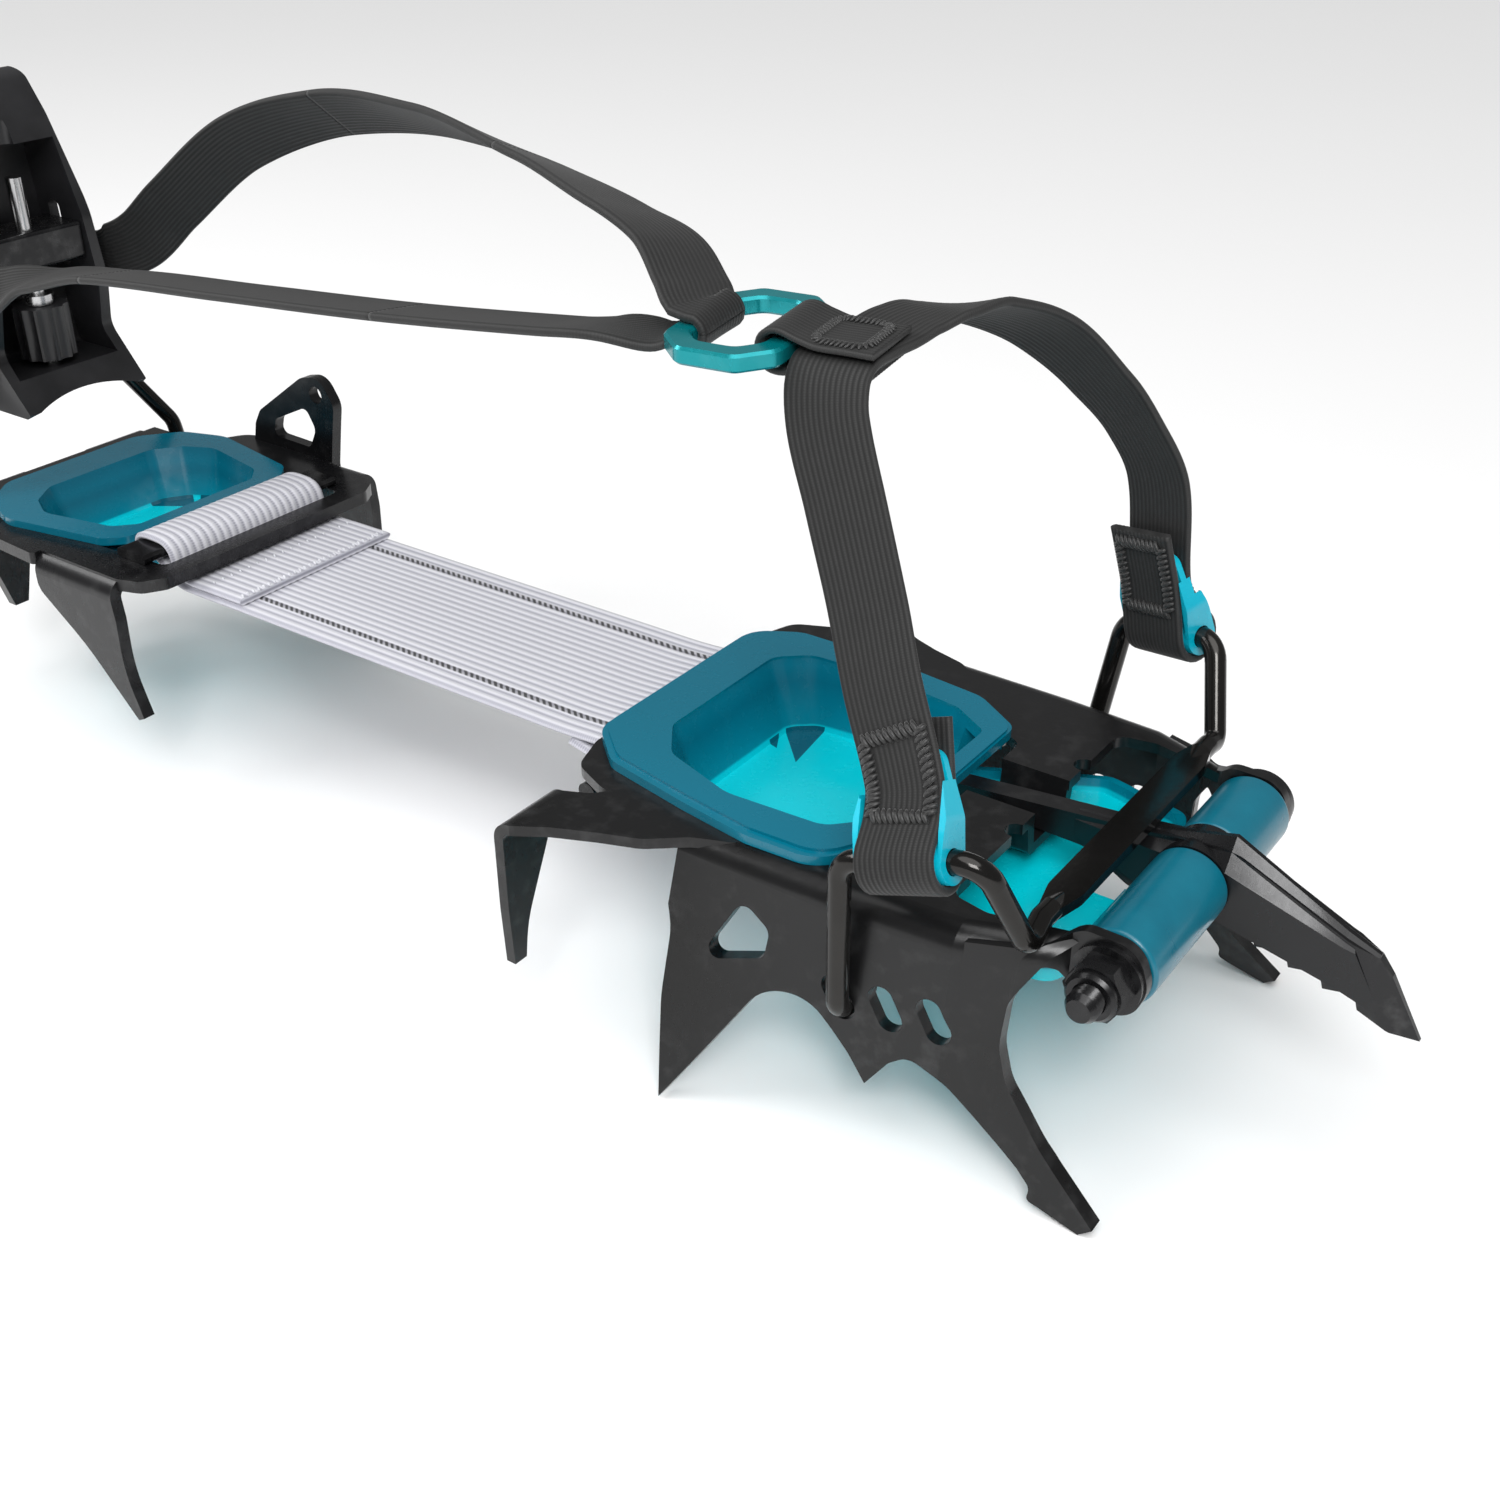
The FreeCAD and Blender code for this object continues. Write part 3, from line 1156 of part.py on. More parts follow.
def strap_lengths(label, stations, breaks):
    """The run as separate lengths, each ending a little short of the next."""
    sections = band_sections(stations, dim("webbing_width"), dim("webbing_thickness"))
    names = ("front", "middle", "rear")
    seam = 0.05
    for part, (first, last) in zip(names, breaks):
        wires = [wire for wire, along in sections[first : last + 1]]
        closing = wires[-1].copy()
        closing.translate(sections[last][1] * -seam)
        feature(f"{label}_{part}", Part.makeLoft(wires[:-1] + [closing], True, True))


def ankle_buckle():
    """Ladder buckle: a frame with two openings that the outer run threads through."""
    frame = prism([(-11, -11, 3), (11, -11, 3), (11, 11, 3), (-11, 11, 3)], "xy", -1.9, 1.9)
    for x in (-5.4, 3.4):
        gap = [(x - 2.3, -8, 1), (x + 2.3, -8, 1), (x + 2.3, 8, 1), (x - 2.3, 8, 1)]
        frame = frame.cut(prism(gap, "xy", -3, 3))
    placement = frame_placement(V(-305.5, -31.8, 54.6), V(-0.99, 0.0, -0.15), V(0.0, 0.97, -0.25))
    return feature("ankle_buckle", frame, placement)


strap_lengths("ankle_strap_outer", OUTER_RUN, ((0, 3), (3, 5), (5, 9)))
strap_lengths("ankle_strap_inner", INNER_RUN, ((0, 3), (3, 5), (5, 9)))
ankle_buckle()


# --- checks and files ---------------------------------------------------------------------------

doc.recompute()
for item in doc.Objects:
    if any(word in item.State for word in ("Invalid", "Error")):
        raise RuntimeError(f"{item.Label} failed: {item.State}")
for item in subparts:
    if item.Shape.isNull() or not item.Shape.isValid():
        raise RuntimeError(f"{item.Label} has no valid shape")
for item in subparts:
    item.Shape.exportStep(f"parts/{item.Label}.step")
    print(f"{item.Label}: {item.Shape.Volume / 1000:.2f} cm3, {len(item.Shape.Solids)} solid(s)")
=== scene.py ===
import bmesh
import bpy
import math
from mathutils import Matrix, Vector


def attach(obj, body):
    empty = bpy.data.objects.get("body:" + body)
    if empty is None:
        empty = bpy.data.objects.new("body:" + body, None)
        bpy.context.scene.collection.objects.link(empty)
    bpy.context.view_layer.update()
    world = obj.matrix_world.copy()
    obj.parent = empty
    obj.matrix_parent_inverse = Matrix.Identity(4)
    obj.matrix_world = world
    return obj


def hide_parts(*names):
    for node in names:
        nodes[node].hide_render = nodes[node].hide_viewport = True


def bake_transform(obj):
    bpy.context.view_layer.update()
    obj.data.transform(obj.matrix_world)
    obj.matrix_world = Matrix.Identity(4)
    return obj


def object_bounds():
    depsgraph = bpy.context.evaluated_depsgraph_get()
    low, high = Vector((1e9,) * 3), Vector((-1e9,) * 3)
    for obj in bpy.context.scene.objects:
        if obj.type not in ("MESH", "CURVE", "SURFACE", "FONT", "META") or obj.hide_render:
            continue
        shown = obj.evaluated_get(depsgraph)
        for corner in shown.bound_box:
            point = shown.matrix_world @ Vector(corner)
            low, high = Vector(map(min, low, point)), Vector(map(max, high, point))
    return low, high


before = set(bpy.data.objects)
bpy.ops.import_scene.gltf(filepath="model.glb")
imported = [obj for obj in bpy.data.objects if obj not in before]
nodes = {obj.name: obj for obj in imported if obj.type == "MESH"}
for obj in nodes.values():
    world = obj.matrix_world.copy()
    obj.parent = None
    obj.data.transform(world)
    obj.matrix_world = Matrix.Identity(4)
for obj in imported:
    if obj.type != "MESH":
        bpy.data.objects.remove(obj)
cad_low, cad_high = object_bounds()
MM = 0.001


def mm(x, y, z):
    return Vector((x, y, z)) * MM


# --- camera -------------------------------------------------------------------------------------

AZIMUTH = math.radians(35.37)
ELEVATION = math.radians(30.68)
ROLL = math.radians(0.15)

camera_data = bpy.data.cameras.new("camera")
camera_data.sensor_width = 36.0
camera_data.lens = 42.85
camera_data.clip_start = 0.01
camera_data.clip_end = 20.0
camera = bpy.data.objects.new("camera", camera_data)
bpy.context.collection.objects.link(camera)
camera.location = mm(87.72, -258.38, 178.19)
looking = Vector(
    (
        -math.sin(AZIMUTH) * math.cos(ELEVATION),
        math.cos(AZIMUTH) * math.cos(ELEVATION),
        -math.sin(ELEVATION),
    )
)
camera.rotation_mode = "QUATERNION"
roll_turn = Matrix.Rotation(ROLL, 3, looking)
camera.rotation_quaternion = roll_turn.to_quaternion() @ looking.to_track_quat("-Z", "Y")
bpy.context.scene.camera = camera


# Length of the linking strap, in mm, from its sewn end to where its tracer threads face up.
TRACER_START = 62.0
# Each tracer thread's distance from the linking strap's centre line, in mm.
TRACER_OFFSET = 17.6

# --- materials ----------------------------------------------------------------------------------


class Surface:
    """A material's node tree with short calls for the nodes it uses."""

    def __init__(self, name, colour, roughness, metallic=0.0, **uniform):
        self.material = bpy.data.materials.new(name)
        self.material.use_nodes = True
        self.tree = self.material.node_tree
        self.shader = self.tree.nodes["Principled BSDF"]
        self.shader.inputs["Base Color"].default_value = (*colour, 1.0)
        self.shader.inputs["Roughness"].default_value = roughness
        self.shader.inputs["Metallic"].default_value = metallic
        for socket, value in uniform.items():
            self.shader.inputs[socket.replace("_", " ")].default_value = value
        self.coordinates = self.tree.nodes.new("ShaderNodeTexCoord")

    def link(self, source, target):
        self.tree.links.new(source, target)

    def place(self, scale, space="Object"):
        mapping = self.tree.nodes.new("ShaderNodeMapping")
        mapping.inputs["Scale"].default_value = scale
        self.link(self.coordinates.outputs[space], mapping.inputs["Vector"])
        return mapping.outputs["Vector"]

    def noise(self, scale, detail=4.0, stretch=(1, 1, 1), roughness=0.55, space="Object"):
        node = self.tree.nodes.new("ShaderNodeTexNoise")
        node.inputs["Scale"].default_value = scale
        node.inputs["Detail"].default_value = detail
        node.inputs["Roughness"].default_value = roughness
        self.link(self.place(stretch, space), node.inputs["Vector"])
        return node.outputs["Fac"]

    def wave(self, period, direction="X", space="UV", distortion=0.0, profile="SIN"):
        """A wave of the given period, in the units of the space's coordinates."""
        node = self.tree.nodes.new("ShaderNodeTexWave")
        node.bands_direction = direction
        node.wave_profile = profile
        node.inputs["Scale"].default_value = 2 * math.pi / (20.0 * period)
        node.inputs["Distortion"].default_value = distortion
        self.link(self.place((1, 1, 1), space), node.inputs["Vector"])
        return node.outputs["Fac"]

    def ramp(self, source, stops):
        node = self.tree.nodes.new("ShaderNodeValToRGB")
        ramp = node.color_ramp
        while len(ramp.elements) < len(stops):
            ramp.elements.new(0.5)
        for element, (position, colour) in zip(ramp.elements, stops):
            element.position = position
            element.color = (*colour, 1.0) if hasattr(colour, "__len__") else (colour,) * 3 + (1.0,)
        self.link(source, node.inputs["Fac"])
        return node.outputs["Color"]

    def spread(self, source, low, high, from_low=0.0, from_high=1.0):
        node = self.tree.nodes.new("ShaderNodeMapRange")
        node.inputs["From Min"].default_value = from_low
        node.inputs["From Max"].default_value = from_high
        node.inputs["To Min"].default_value = low
        node.inputs["To Max"].default_value = high
        self.link(source, node.inputs["Value"])
        return node.outputs["Result"]

    def combine(self, operation, first, second):
        node = self.tree.nodes.new("ShaderNodeMath")
        node.operation = operation
        for socket, value in zip(node.inputs, (first, second)):
            if isinstance(value, (int, float)):
                socket.default_value = value
            else:
                self.link(value, socket)
        return node.outputs["Value"]

    def mix(self, factor, first, second, blend="MIX"):
        node = self.tree.nodes.new("ShaderNodeMix")
        node.data_type = "RGBA"
        node.blend_type = blend
        sockets = [s for s in node.inputs if s.type == "RGBA"]
        pairs = ((node.inputs[0], factor), (sockets[0], first), (sockets[1], second))
        for socket, value in pairs:
            if isinstance(value, (int, float)):
                socket.default_value = value
            elif isinstance(value, tuple):
                socket.default_value = (*value, 1.0)
            else:
                self.link(value, socket)
        return [s for s in node.outputs if s.type == "RGBA"][0]

    def axis(self, name, space="Object"):
        split = self.tree.nodes.new("ShaderNodeSeparateXYZ")
        self.link(self.coordinates.outputs[space], split.inputs["Vector"])
        return split.outputs[name]

    def pointiness(self):
        geometry = self.tree.nodes.new("ShaderNodeNewGeometry")
        return geometry.outputs["Pointiness"]

    def colour(self, source):
        self.link(source, self.shader.inputs["Base Color"])

    def rough(self, source):
        self.link(source, self.shader.inputs["Roughness"])

    def bump(self, source, distance, strength=1.0):
        node = self.tree.nodes.new("ShaderNodeBump")
        node.inputs["Distance"].default_value = distance
        node.inputs["Strength"].default_value = strength
        self.link(source, node.inputs["Height"])
        self.link(node.outputs["Normal"], self.shader.inputs["Normal"])


def coated_metal(name, dark, light, rough_low, rough_high, metallic, edge_wear_and_highlight=0.10, grain=900.0, bump=0.000012):
    """Coated metal: a faintly uneven tone, fine grain and paler edges, partly worn coating and partly a
    painted edge highlight.
    """
    surface = Surface(name, dark, rough_low, metallic, Coat_Weight=0.10, Coat_Roughness=0.2)
    mottle = surface.noise(22.0, 5.0)
    base = surface.mix(surface.spread(mottle, 0.0, 1.0, 0.3, 0.7), dark, light)
    # Paler convex edges: partly worn coating, partly a painted highlight along edges and bends.
    edge = surface.spread(surface.pointiness(), 0.0, 1.0, 0.53, 0.62)
    wear_and_highlight = surface.combine("MULTIPLY", edge, surface.spread(surface.noise(240.0, 3.0), 0.0, 0.6, 0.5, 0.75))
    surface.colour(surface.mix(wear_and_highlight, base, tuple(edge_wear_and_highlight + part for part in light)))
    fine = surface.noise(grain, 2.0, (1, 1, 0.35))
    coarse_part = surface.combine("MULTIPLY", mottle, 0.7)
    fine_part = surface.combine("MULTIPLY", fine, 0.3)
    blend = surface.combine("ADD", coarse_part, fine_part)
    surface.rough(surface.spread(blend, rough_low, rough_high, 0.35, 0.65))
    surface.bump(fine, bump)
    return surface.material


def dark_webbing():
    """Charcoal webbing: lengthwise ribs, a fine cross weave and a soft sheen. UV is in millimetres."""
    surface = Surface("dark_webbing", (0.012, 0.012, 0.013), 0.8, Sheen_Weight=0.10, Sheen_Roughness=0.4)
    ribs = surface.wave(0.98, "X")
    picks = surface.wave(0.42, "Y", distortion=0.5)
    fuzz = surface.noise(4.0, 4.0, space="UV")
    weave = surface.combine("MULTIPLY", ribs, surface.spread(picks, 0.78, 1.0))
    height = surface.combine("ADD", weave, surface.combine("MULTIPLY", fuzz, 0.3))
    tone_stops = ((0.0, 0.0045), (0.5, 0.012), (1.0, 0.026))
    tone = surface.ramp(surface.spread(height, 0.0, 1.0, 0.1, 1.25), tone_stops)
    dust = surface.spread(surface.noise(0.25, 4.0, space="UV"), 0.0, 1.0, 0.3, 0.7)
    surface.colour(surface.mix(1.0, tone, surface.ramp(dust, ((0.0, 0.85), (1.0, 1.0))), "MULTIPLY"))
    surface.rough(surface.spread(height, 0.85, 0.6, 0.0, 1.3))
    surface.bump(height, 0.00009, 0.8)
    return surface.material


def pale_webbing():
    """Pale flat strap: fine grey lines, a faint cross weave and two speckled dark tracers."""
    surface = Surface("pale_webbing", (0.62, 0.62, 0.66), 0.7, Sheen_Weight=0.12, Sheen_Roughness=0.5)
    ribs = surface.wave(2.15, "X")
    picks = surface.wave(0.55, "Y", distortion=0.4)
    height = surface.combine("ADD", ribs, surface.combine("MULTIPLY", picks, 0.2))
    tone = surface.ramp(
        surface.spread(height, 0.0, 1.0, 0.0, 1.2),
        (
            (0.0, (0.30, 0.30, 0.35)),
            (0.22, (0.50, 0.50, 0.56)),
            (0.5, (0.66, 0.66, 0.71)),
            (1.0, (0.72, 0.72, 0.77)),
        ),
    )
    across = surface.combine("ABSOLUTE", surface.axis("X", "UV"), 0.0)
    place = surface.combine("ABSOLUTE", surface.combine("SUBTRACT", across, TRACER_OFFSET), 0.0)
    line = surface.spread(place, 1.0, 0.0, 0.7, 0.9)
    speckle = surface.spread(surface.wave(0.85, "DIAGONAL", distortion=1.0), 0.35, 1.0, 0.3, 0.6)
    lower_run = surface.combine("GREATER_THAN", surface.axis("Y", "UV"), TRACER_START)
    tracer = surface.combine("MULTIPLY", surface.combine("MULTIPLY", line, speckle), lower_run)
    surface.colour(surface.mix(tracer, tone, (0.04, 0.04, 0.045)))
    surface.rough(surface.spread(height, 0.8, 0.6))
    surface.bump(height, 0.00016, 0.8)
    return surface.material


def thread():
    surface = Surface("stitch_thread", (0.02, 0.02, 0.021), 0.45, Sheen_Weight=0.2, Sheen_Roughness=0.4)
    twist = surface.noise(2600.0, 2.0)
    surface.colour(surface.ramp(twist, ((0.3, 0.008), (0.7, 0.035))))
    surface.bump(twist, 0.00005)
    return surface.material


def half_plane(surface, first, second):
    """1 on the left of the line from first to second, in mm in the plan, else 0."""
    run = Vector(second) - Vector(first)
    normal = Vector((-run.y, run.x)).normalized()
    node = surface.tree.nodes.new("ShaderNodeVectorMath")
    node.operation = "DOT_PRODUCT"
    surface.link(surface.coordinates.outputs["Object"], node.inputs[0])
    node.inputs[1].default_value = (normal.x, normal.y, 0.0)
    return surface.combine("GREATER_THAN", node.outputs["Value"], normal.dot(Vector(first)) * MM)


def tray_plastic(name, floor_top, shadows):
    """Flexible see-through plastic with painted light: painted bright at the floor, where light passes
    through, and painted dark teal shade over the frame.

    shadows are the plan outlines, anticlockwise, of the frame's teeth, painted as dark shade on the floor
    where they would show through it."""
    surface = Surface(name, (0.0, 0.5, 0.6), 0.22, Coat_Weight=0.15, Coat_Roughness=0.08, IOR=1.42)
    height = surface.axis("Z")
    ripple = surface.noise(35.0, 3.0)
    level = surface.spread(height, 0.0, 1.0, floor_top * MM, 0.004)
    level = surface.combine("ADD", level, surface.spread(ripple, -0.015, 0.015))
    # Painted light: the floor band is painted bright where light passes through the plastic, and the walls
    # over the frame are painted shade.
    tone = surface.ramp(
        level,
        (
            (0.0, (0.0, 0.60, 0.70)),
            (0.055, (0.0, 0.56, 0.67)),
            (0.085, (0.0, 0.21, 0.30)),
            (0.60, (0.0, 0.13, 0.20)),
            (0.80, (0.0, 0.155, 0.235)),
            (1.0, (0.0, 0.135, 0.21)),
        ),
    )
    # Painted shadows of the frame's teeth: dark teal on the floor, just where the teeth would show through.
    for corners in shadows:
        inside = half_plane(surface, corners[0], corners[1])
        for first, second in zip(corners[1:], corners[2:] + corners[:1]):
            inside = surface.combine("MULTIPLY", inside, half_plane(surface, first, second))
        near_floor = surface.combine("LESS_THAN", height, (floor_top + 0.9) * MM)
        tone = surface.mix(surface.combine("MULTIPLY", inside, near_floor), tone, (0.0, 0.10, 0.155))
    surface.colour(tone)
    surface.rough(surface.spread(surface.noise(300.0, 3.0), 0.16, 0.32, 0.3, 0.7))
    surface.bump(surface.noise(120.0, 4.0), 0.00005, 0.4)
    return surface.material


def moulded(name, low, high, rough, bump=0.00003, coat=0.15):
    """Moulded plastic: faint flow marks and a fine spark-eroded grain."""
    surface = Surface(name, low, rough, Coat_Weight=coat, Coat_Roughness=0.12)
    flow = surface.noise(70.0, 3.0)
    tone = surface.mix(surface.spread(flow, 0.0, 1.0, 0.3, 0.7), low, high)
    surface.colour(tone)
    grain = surface.noise(1400.0, 2.0)
    surface.rough(surface.spread(flow, rough - 0.06, rough + 0.1, 0.3, 0.7))
    surface.bump(grain, bump, 0.6)
    return surface.material


# The last figure on each line lightens the edges: partly wear, partly painted highlight.
STEEL = coated_metal("frame_steel", (0.005, 0.005, 0.005), (0.010, 0.010, 0.011), 0.26, 0.36, 0.35, 0.03)
BLADE = coated_metal("blade_steel", (0.007, 0.007, 0.008), (0.012, 0.012, 0.013), 0.24, 0.34, 0.40, 0.05)
ALLOY = coated_metal("heel_alloy", (0.005, 0.005, 0.006), (0.010, 0.010, 0.011), 0.24, 0.34, 0.35, 0.03)
WIRE = coated_metal("wire_steel", (0.022, 0.021, 0.020), (0.040, 0.038, 0.036), 0.10, 0.20, 0.85, 0.05)
BOLT = coated_metal("black_steel", (0.005, 0.005, 0.006), (0.013, 0.013, 0.014), 0.20, 0.32, 0.45, 0.04)
SCREW = coated_metal("bright_steel", (0.42, 0.42, 0.43), (0.62, 0.62, 0.62), 0.18, 0.32, 1.0, 0.1)
TEAL_METAL = coated_metal("ring_teal", (0.0, 0.22, 0.25), (0.0, 0.29, 0.32), 0.20, 0.30, 0.55, 0.06)
# Plan outlines, in mm, of the frame's teeth, painted as shade on the trays' floors where the teeth would
# show through.
FRONT_SHADOWS = (
    ((-99.0, 17.0), (-88.0, 5.5), (-90.5, 22.0)),
    ((-99.5, 9.5), (-94.5, 8.0), (-97.5, 13.5)),
)
HEEL_SHADOWS = (
    ((-299.0, 9.0), (-288.0, 16.5), (-296.0, 22.0)),
    ((-290.0, 17.5), (-285.0, 22.0), (-292.0, 23.0)),
)
FRONT_TRAY = tray_plastic("tray_plastic_front", -12.8, FRONT_SHADOWS)
HEEL_TRAY = tray_plastic("tray_plastic_heel", -8.0, HEEL_SHADOWS)
SPACER = moulded("spacer_plastic", (0.0, 0.115, 0.175), (0.0, 0.15, 0.22), 0.30)
CYAN = moulded("thimble_plastic", (0.0, 0.38, 0.52), (0.0, 0.46, 0.60), 0.30)
BLACK = moulded("black_plastic", (0.008, 0.008, 0.009), (0.016, 0.016, 0.018), 0.40, 0.00004)
WEBBING = dark_webbing()
PALE = pale_webbing()
THREAD = thread()

NODE_MATERIALS = {
    "front_frame": STEEL,
    "mono_point": BLADE,
    "axle_bolt": BOLT,
    "axle_nut": BOLT,
    "outer_washer": BOLT,
    "inner_washer": BOLT,
    "outer_spacer": SPACER,
    "inner_spacer": SPACER,
    "front_antisnow_plate": FRONT_TRAY,
    "heel_frame": ALLOY,
    "heel_antisnow_plate": HEEL_TRAY,
    "front_strap_rod": BOLT,
    "heel_strap_bar": BOLT,
    "toe_bail": WIRE,
    "outer_thimble": CYAN,
    "inner_thimble": CYAN,
    "harness_ring": TEAL_METAL,
    "heel_wire": WIRE,
    "heel_lever": BLACK,
    "lever_carriage": BOLT,
    "adjuster_screw": SCREW,
    "adjuster_knob": BLACK,
    "ankle_buckle": BLACK,
}
for node_name, material in NODE_MATERIALS.items():
    for holder in nodes[node_name].material_slots:
        holder.material = material


# --- webbing ------------------------------------------------------------------------------------


def strap_profile(width, thickness, pitch, rib):
    """Closed outline across a strap, in mm: rounded edges and a rib every pitch on both faces."""
    half = width / 2
    edge = thickness * 0.5
    steps = int(width / pitch) * 4
    top = []
    for step in range(steps + 1):
        x = -half + width * step / steps
        inset = max(0.0, abs(x) - (half - edge)) / edge
        fall = math.sqrt(max(0.0, 1 - inset * inset))
        swell = rib * abs(math.sin(math.pi * (x + half) / pitch))
        top.append((x, (thickness / 2 - rib) * (0.25 + 0.75 * fall) + swell * fall))
    return top + [(x, -z) for x, z in reversed(top)]


def smooth_stations(stations, spacing):
    """Catmull-Rom resampling of (point, across, width factor) rows at about the given spacing, in mm."""
    rows = [(Vector(p), Vector(a).normalized(), k) for p, a, k in stations]
    result = []
    for index in range(len(rows) - 1):
        before = rows[max(index - 1, 0)]
        first, second = rows[index], rows[index + 1]
        after = rows[min(index + 2, len(rows) - 1)]
        length = (second[0] - first[0]).length
        steps = max(2, int(length / spacing))
        reach = 0.5 * length
        out_run = (second[0] - before[0]).normalized() * reach * 2
        in_run = (after[0] - first[0]).normalized() * reach * 2
        for step in range(steps):
            t = step / steps
            h00 = 2 * t**3 - 3 * t**2 + 1
            h10 = t**3 - 2 * t**2 + t
            h01 = -2 * t**3 + 3 * t**2
            h11 = t**3 - t**2
            point = first[0] * h00 + out_run * h10 + second[0] * h01 + in_run * h11
            ease = t * t * (3 - 2 * t)
            across = first[1].lerp(second[1], ease)
            result.append((point, across.normalized(), first[2] + (second[2] - first[2]) * ease))
    result.append(rows[-1])
    return result


def strap_mesh(name, rows, width, thickness, material, pitch=1.0, rib=0.10, start=0, end=None):
    """A webbing mesh through resampled rows; start and end pick a stretch of a longer run."""
    end = len(rows) - 1 if end is None else end
    profile = strap_profile(width, thickness, pitch, rib)
    distance = [0.0]
    for index in range(1, len(rows)):
        distance.append(distance[-1] + (rows[index][0] - rows[index - 1][0]).length)
    mesh = bpy.data.meshes.new(name)
    built = bmesh.new()
    layer = built.loops.layers.uv.new("weave")
    rings = []
    for index in range(start, end + 1):
        point, across, factor = rows[index]
        before = rows[max(index - 1, 0)][0]
        after = rows[min(index + 1, len(rows) - 1)][0]
        along = (after - before).normalized()
        side = (across - along * across.dot(along)).normalized()
        up = along.cross(side)
        ring = []
        for x, z in profile:
            sag = 0.0 if factor > 0.99 else (1 - factor) * 3.0 * (1 - (2 * x / width) ** 2)
            ring.append(built.verts.new((point + side * (x * factor) + up * (z - sag)) * MM))
        rings.append((ring, distance[index]))
    count = len(profile)
    top_count = count // 2
    for (ring_a, va), (ring_b, vb) in zip(rings, rings[1:]):
        for j in range(count):
            k = (j + 1) % count
            face = built.faces.new((ring_a[j], ring_a[k], ring_b[k], ring_b[j]))
            face.smooth = True
            for loop, (column, v) in zip(face.loops, ((j, va), (k, va), (k, vb), (j, vb))):
                loop[layer].uv = (profile[column][0], v)
    for (ring, v), flip in ((rings[0], True), (rings[-1], False)):
        for j in range(top_count - 1):
            corners = (ring[j], ring[j + 1], ring[count - 2 - j], ring[count - 1 - j])
            face = built.faces.new(corners if flip else tuple(reversed(corners)))
            for loop in face.loops:
                loop[layer].uv = (loop.vert.co.z * 1000, v)
    bmesh.ops.recalc_face_normals(built, faces=built.faces)
    built.to_mesh(mesh)
    built.free()
    item = bpy.data.objects.new(name, mesh)
    item.data.materials.append(material)
    bpy.context.collection.objects.link(item)
    return item


def capsule(built, start, end, radius, lift, up, sides=7, steps=6):
    """A short arched thread from start to end that rises by lift in the middle."""
    run = end - start
    along = run.normalized()
    side = along.cross(up).normalized()
    rings = []
    for step in range(steps + 1):
        t = step / steps
        bow = math.sin(math.pi * t)
        centre = start + run * t + up * (lift * bow)
        size = radius * (0.35 + 0.65 * math.sqrt(max(bow, 0.0)))
        ring = []
        for index in range(sides):
            angle = 2 * math.pi * index / sides
            spoke = (side * math.cos(angle) + up * math.sin(angle)) * size
            ring.append(built.verts.new((centre + spoke) * MM))
        rings.append(ring)
    for first, second in zip(rings, rings[1:]):
        for index in range(sides):
            other = (index + 1) % sides
            built.faces.new((first[index], first[other], second[other], second[index])).smooth = True
    built.faces.new(tuple(reversed(rings[0])))
    built.faces.new(tuple(rings[-1]))


def stitched_line(built, place, corners, pitch, reach, closed=True, radius=0.34, lift=0.28):
    """Satin stitches across a line given in a face's own mm; place maps (a, b) to (point, up)."""
    count = len(corners)
    spans = count if closed else count - 1
    for index in range(spans):
        first = Vector(corners[index])
        second = Vector(corners[(index + 1) % count])
        run = second - first
        number = max(1, round(run.length / pitch))
        along = run.normalized()
        across = Vector((-along.y, along.x))
        lean = along * (reach * 0.22)
        for step in range(number):
            centre = first + run * ((step + 0.5) / number)
            low, up_low = place(centre - across * (reach / 2) - lean)
            high, up_high = place(centre + across * (reach / 2) + lean)
            capsule(built, low, high, radius, lift, (up_low + up_high).normalized())


def finish_mesh(built, name, material):
    mesh = bpy.data.meshes.new(name)
    bmesh.ops.recalc_face_normals(built, faces=built.faces)
    built.to_mesh(mesh)
    built.free()
    item = bpy.data.objects.new(name, mesh)
    item.data.materials.append(material)
    bpy.context.collection.objects.link(item)
    return item


def surface_of(rows, thickness, face=1.0):
    """Maps (distance along from the first row, place across) to a point on a strap's face."""
    distance = [0.0]
    for index in range(1, len(rows)):
        distance.append(distance[-1] + (rows[index][0] - rows[index - 1][0]).length)

    def place(spot):
        v, x = spot
        index = 0
        while index < len(rows) - 2 and distance[index + 1] < v:
            index += 1
        t = (v - distance[index]) / (distance[index + 1] - distance[index])
        point = rows[index][0].lerp(rows[index + 1][0], t)
        along = (rows[index + 1][0] - rows[index][0]).normalized()
        across = rows[index][1].lerp(rows[index + 1][1], t)
        side = (across - along * across.dot(along)).normalized()
        up = along.cross(side) * face
        return point + side * x + up * (thickness / 2 + 0.02), up

    return place


WEB_WIDTH = 15.0
WEB_THICK = 1.7

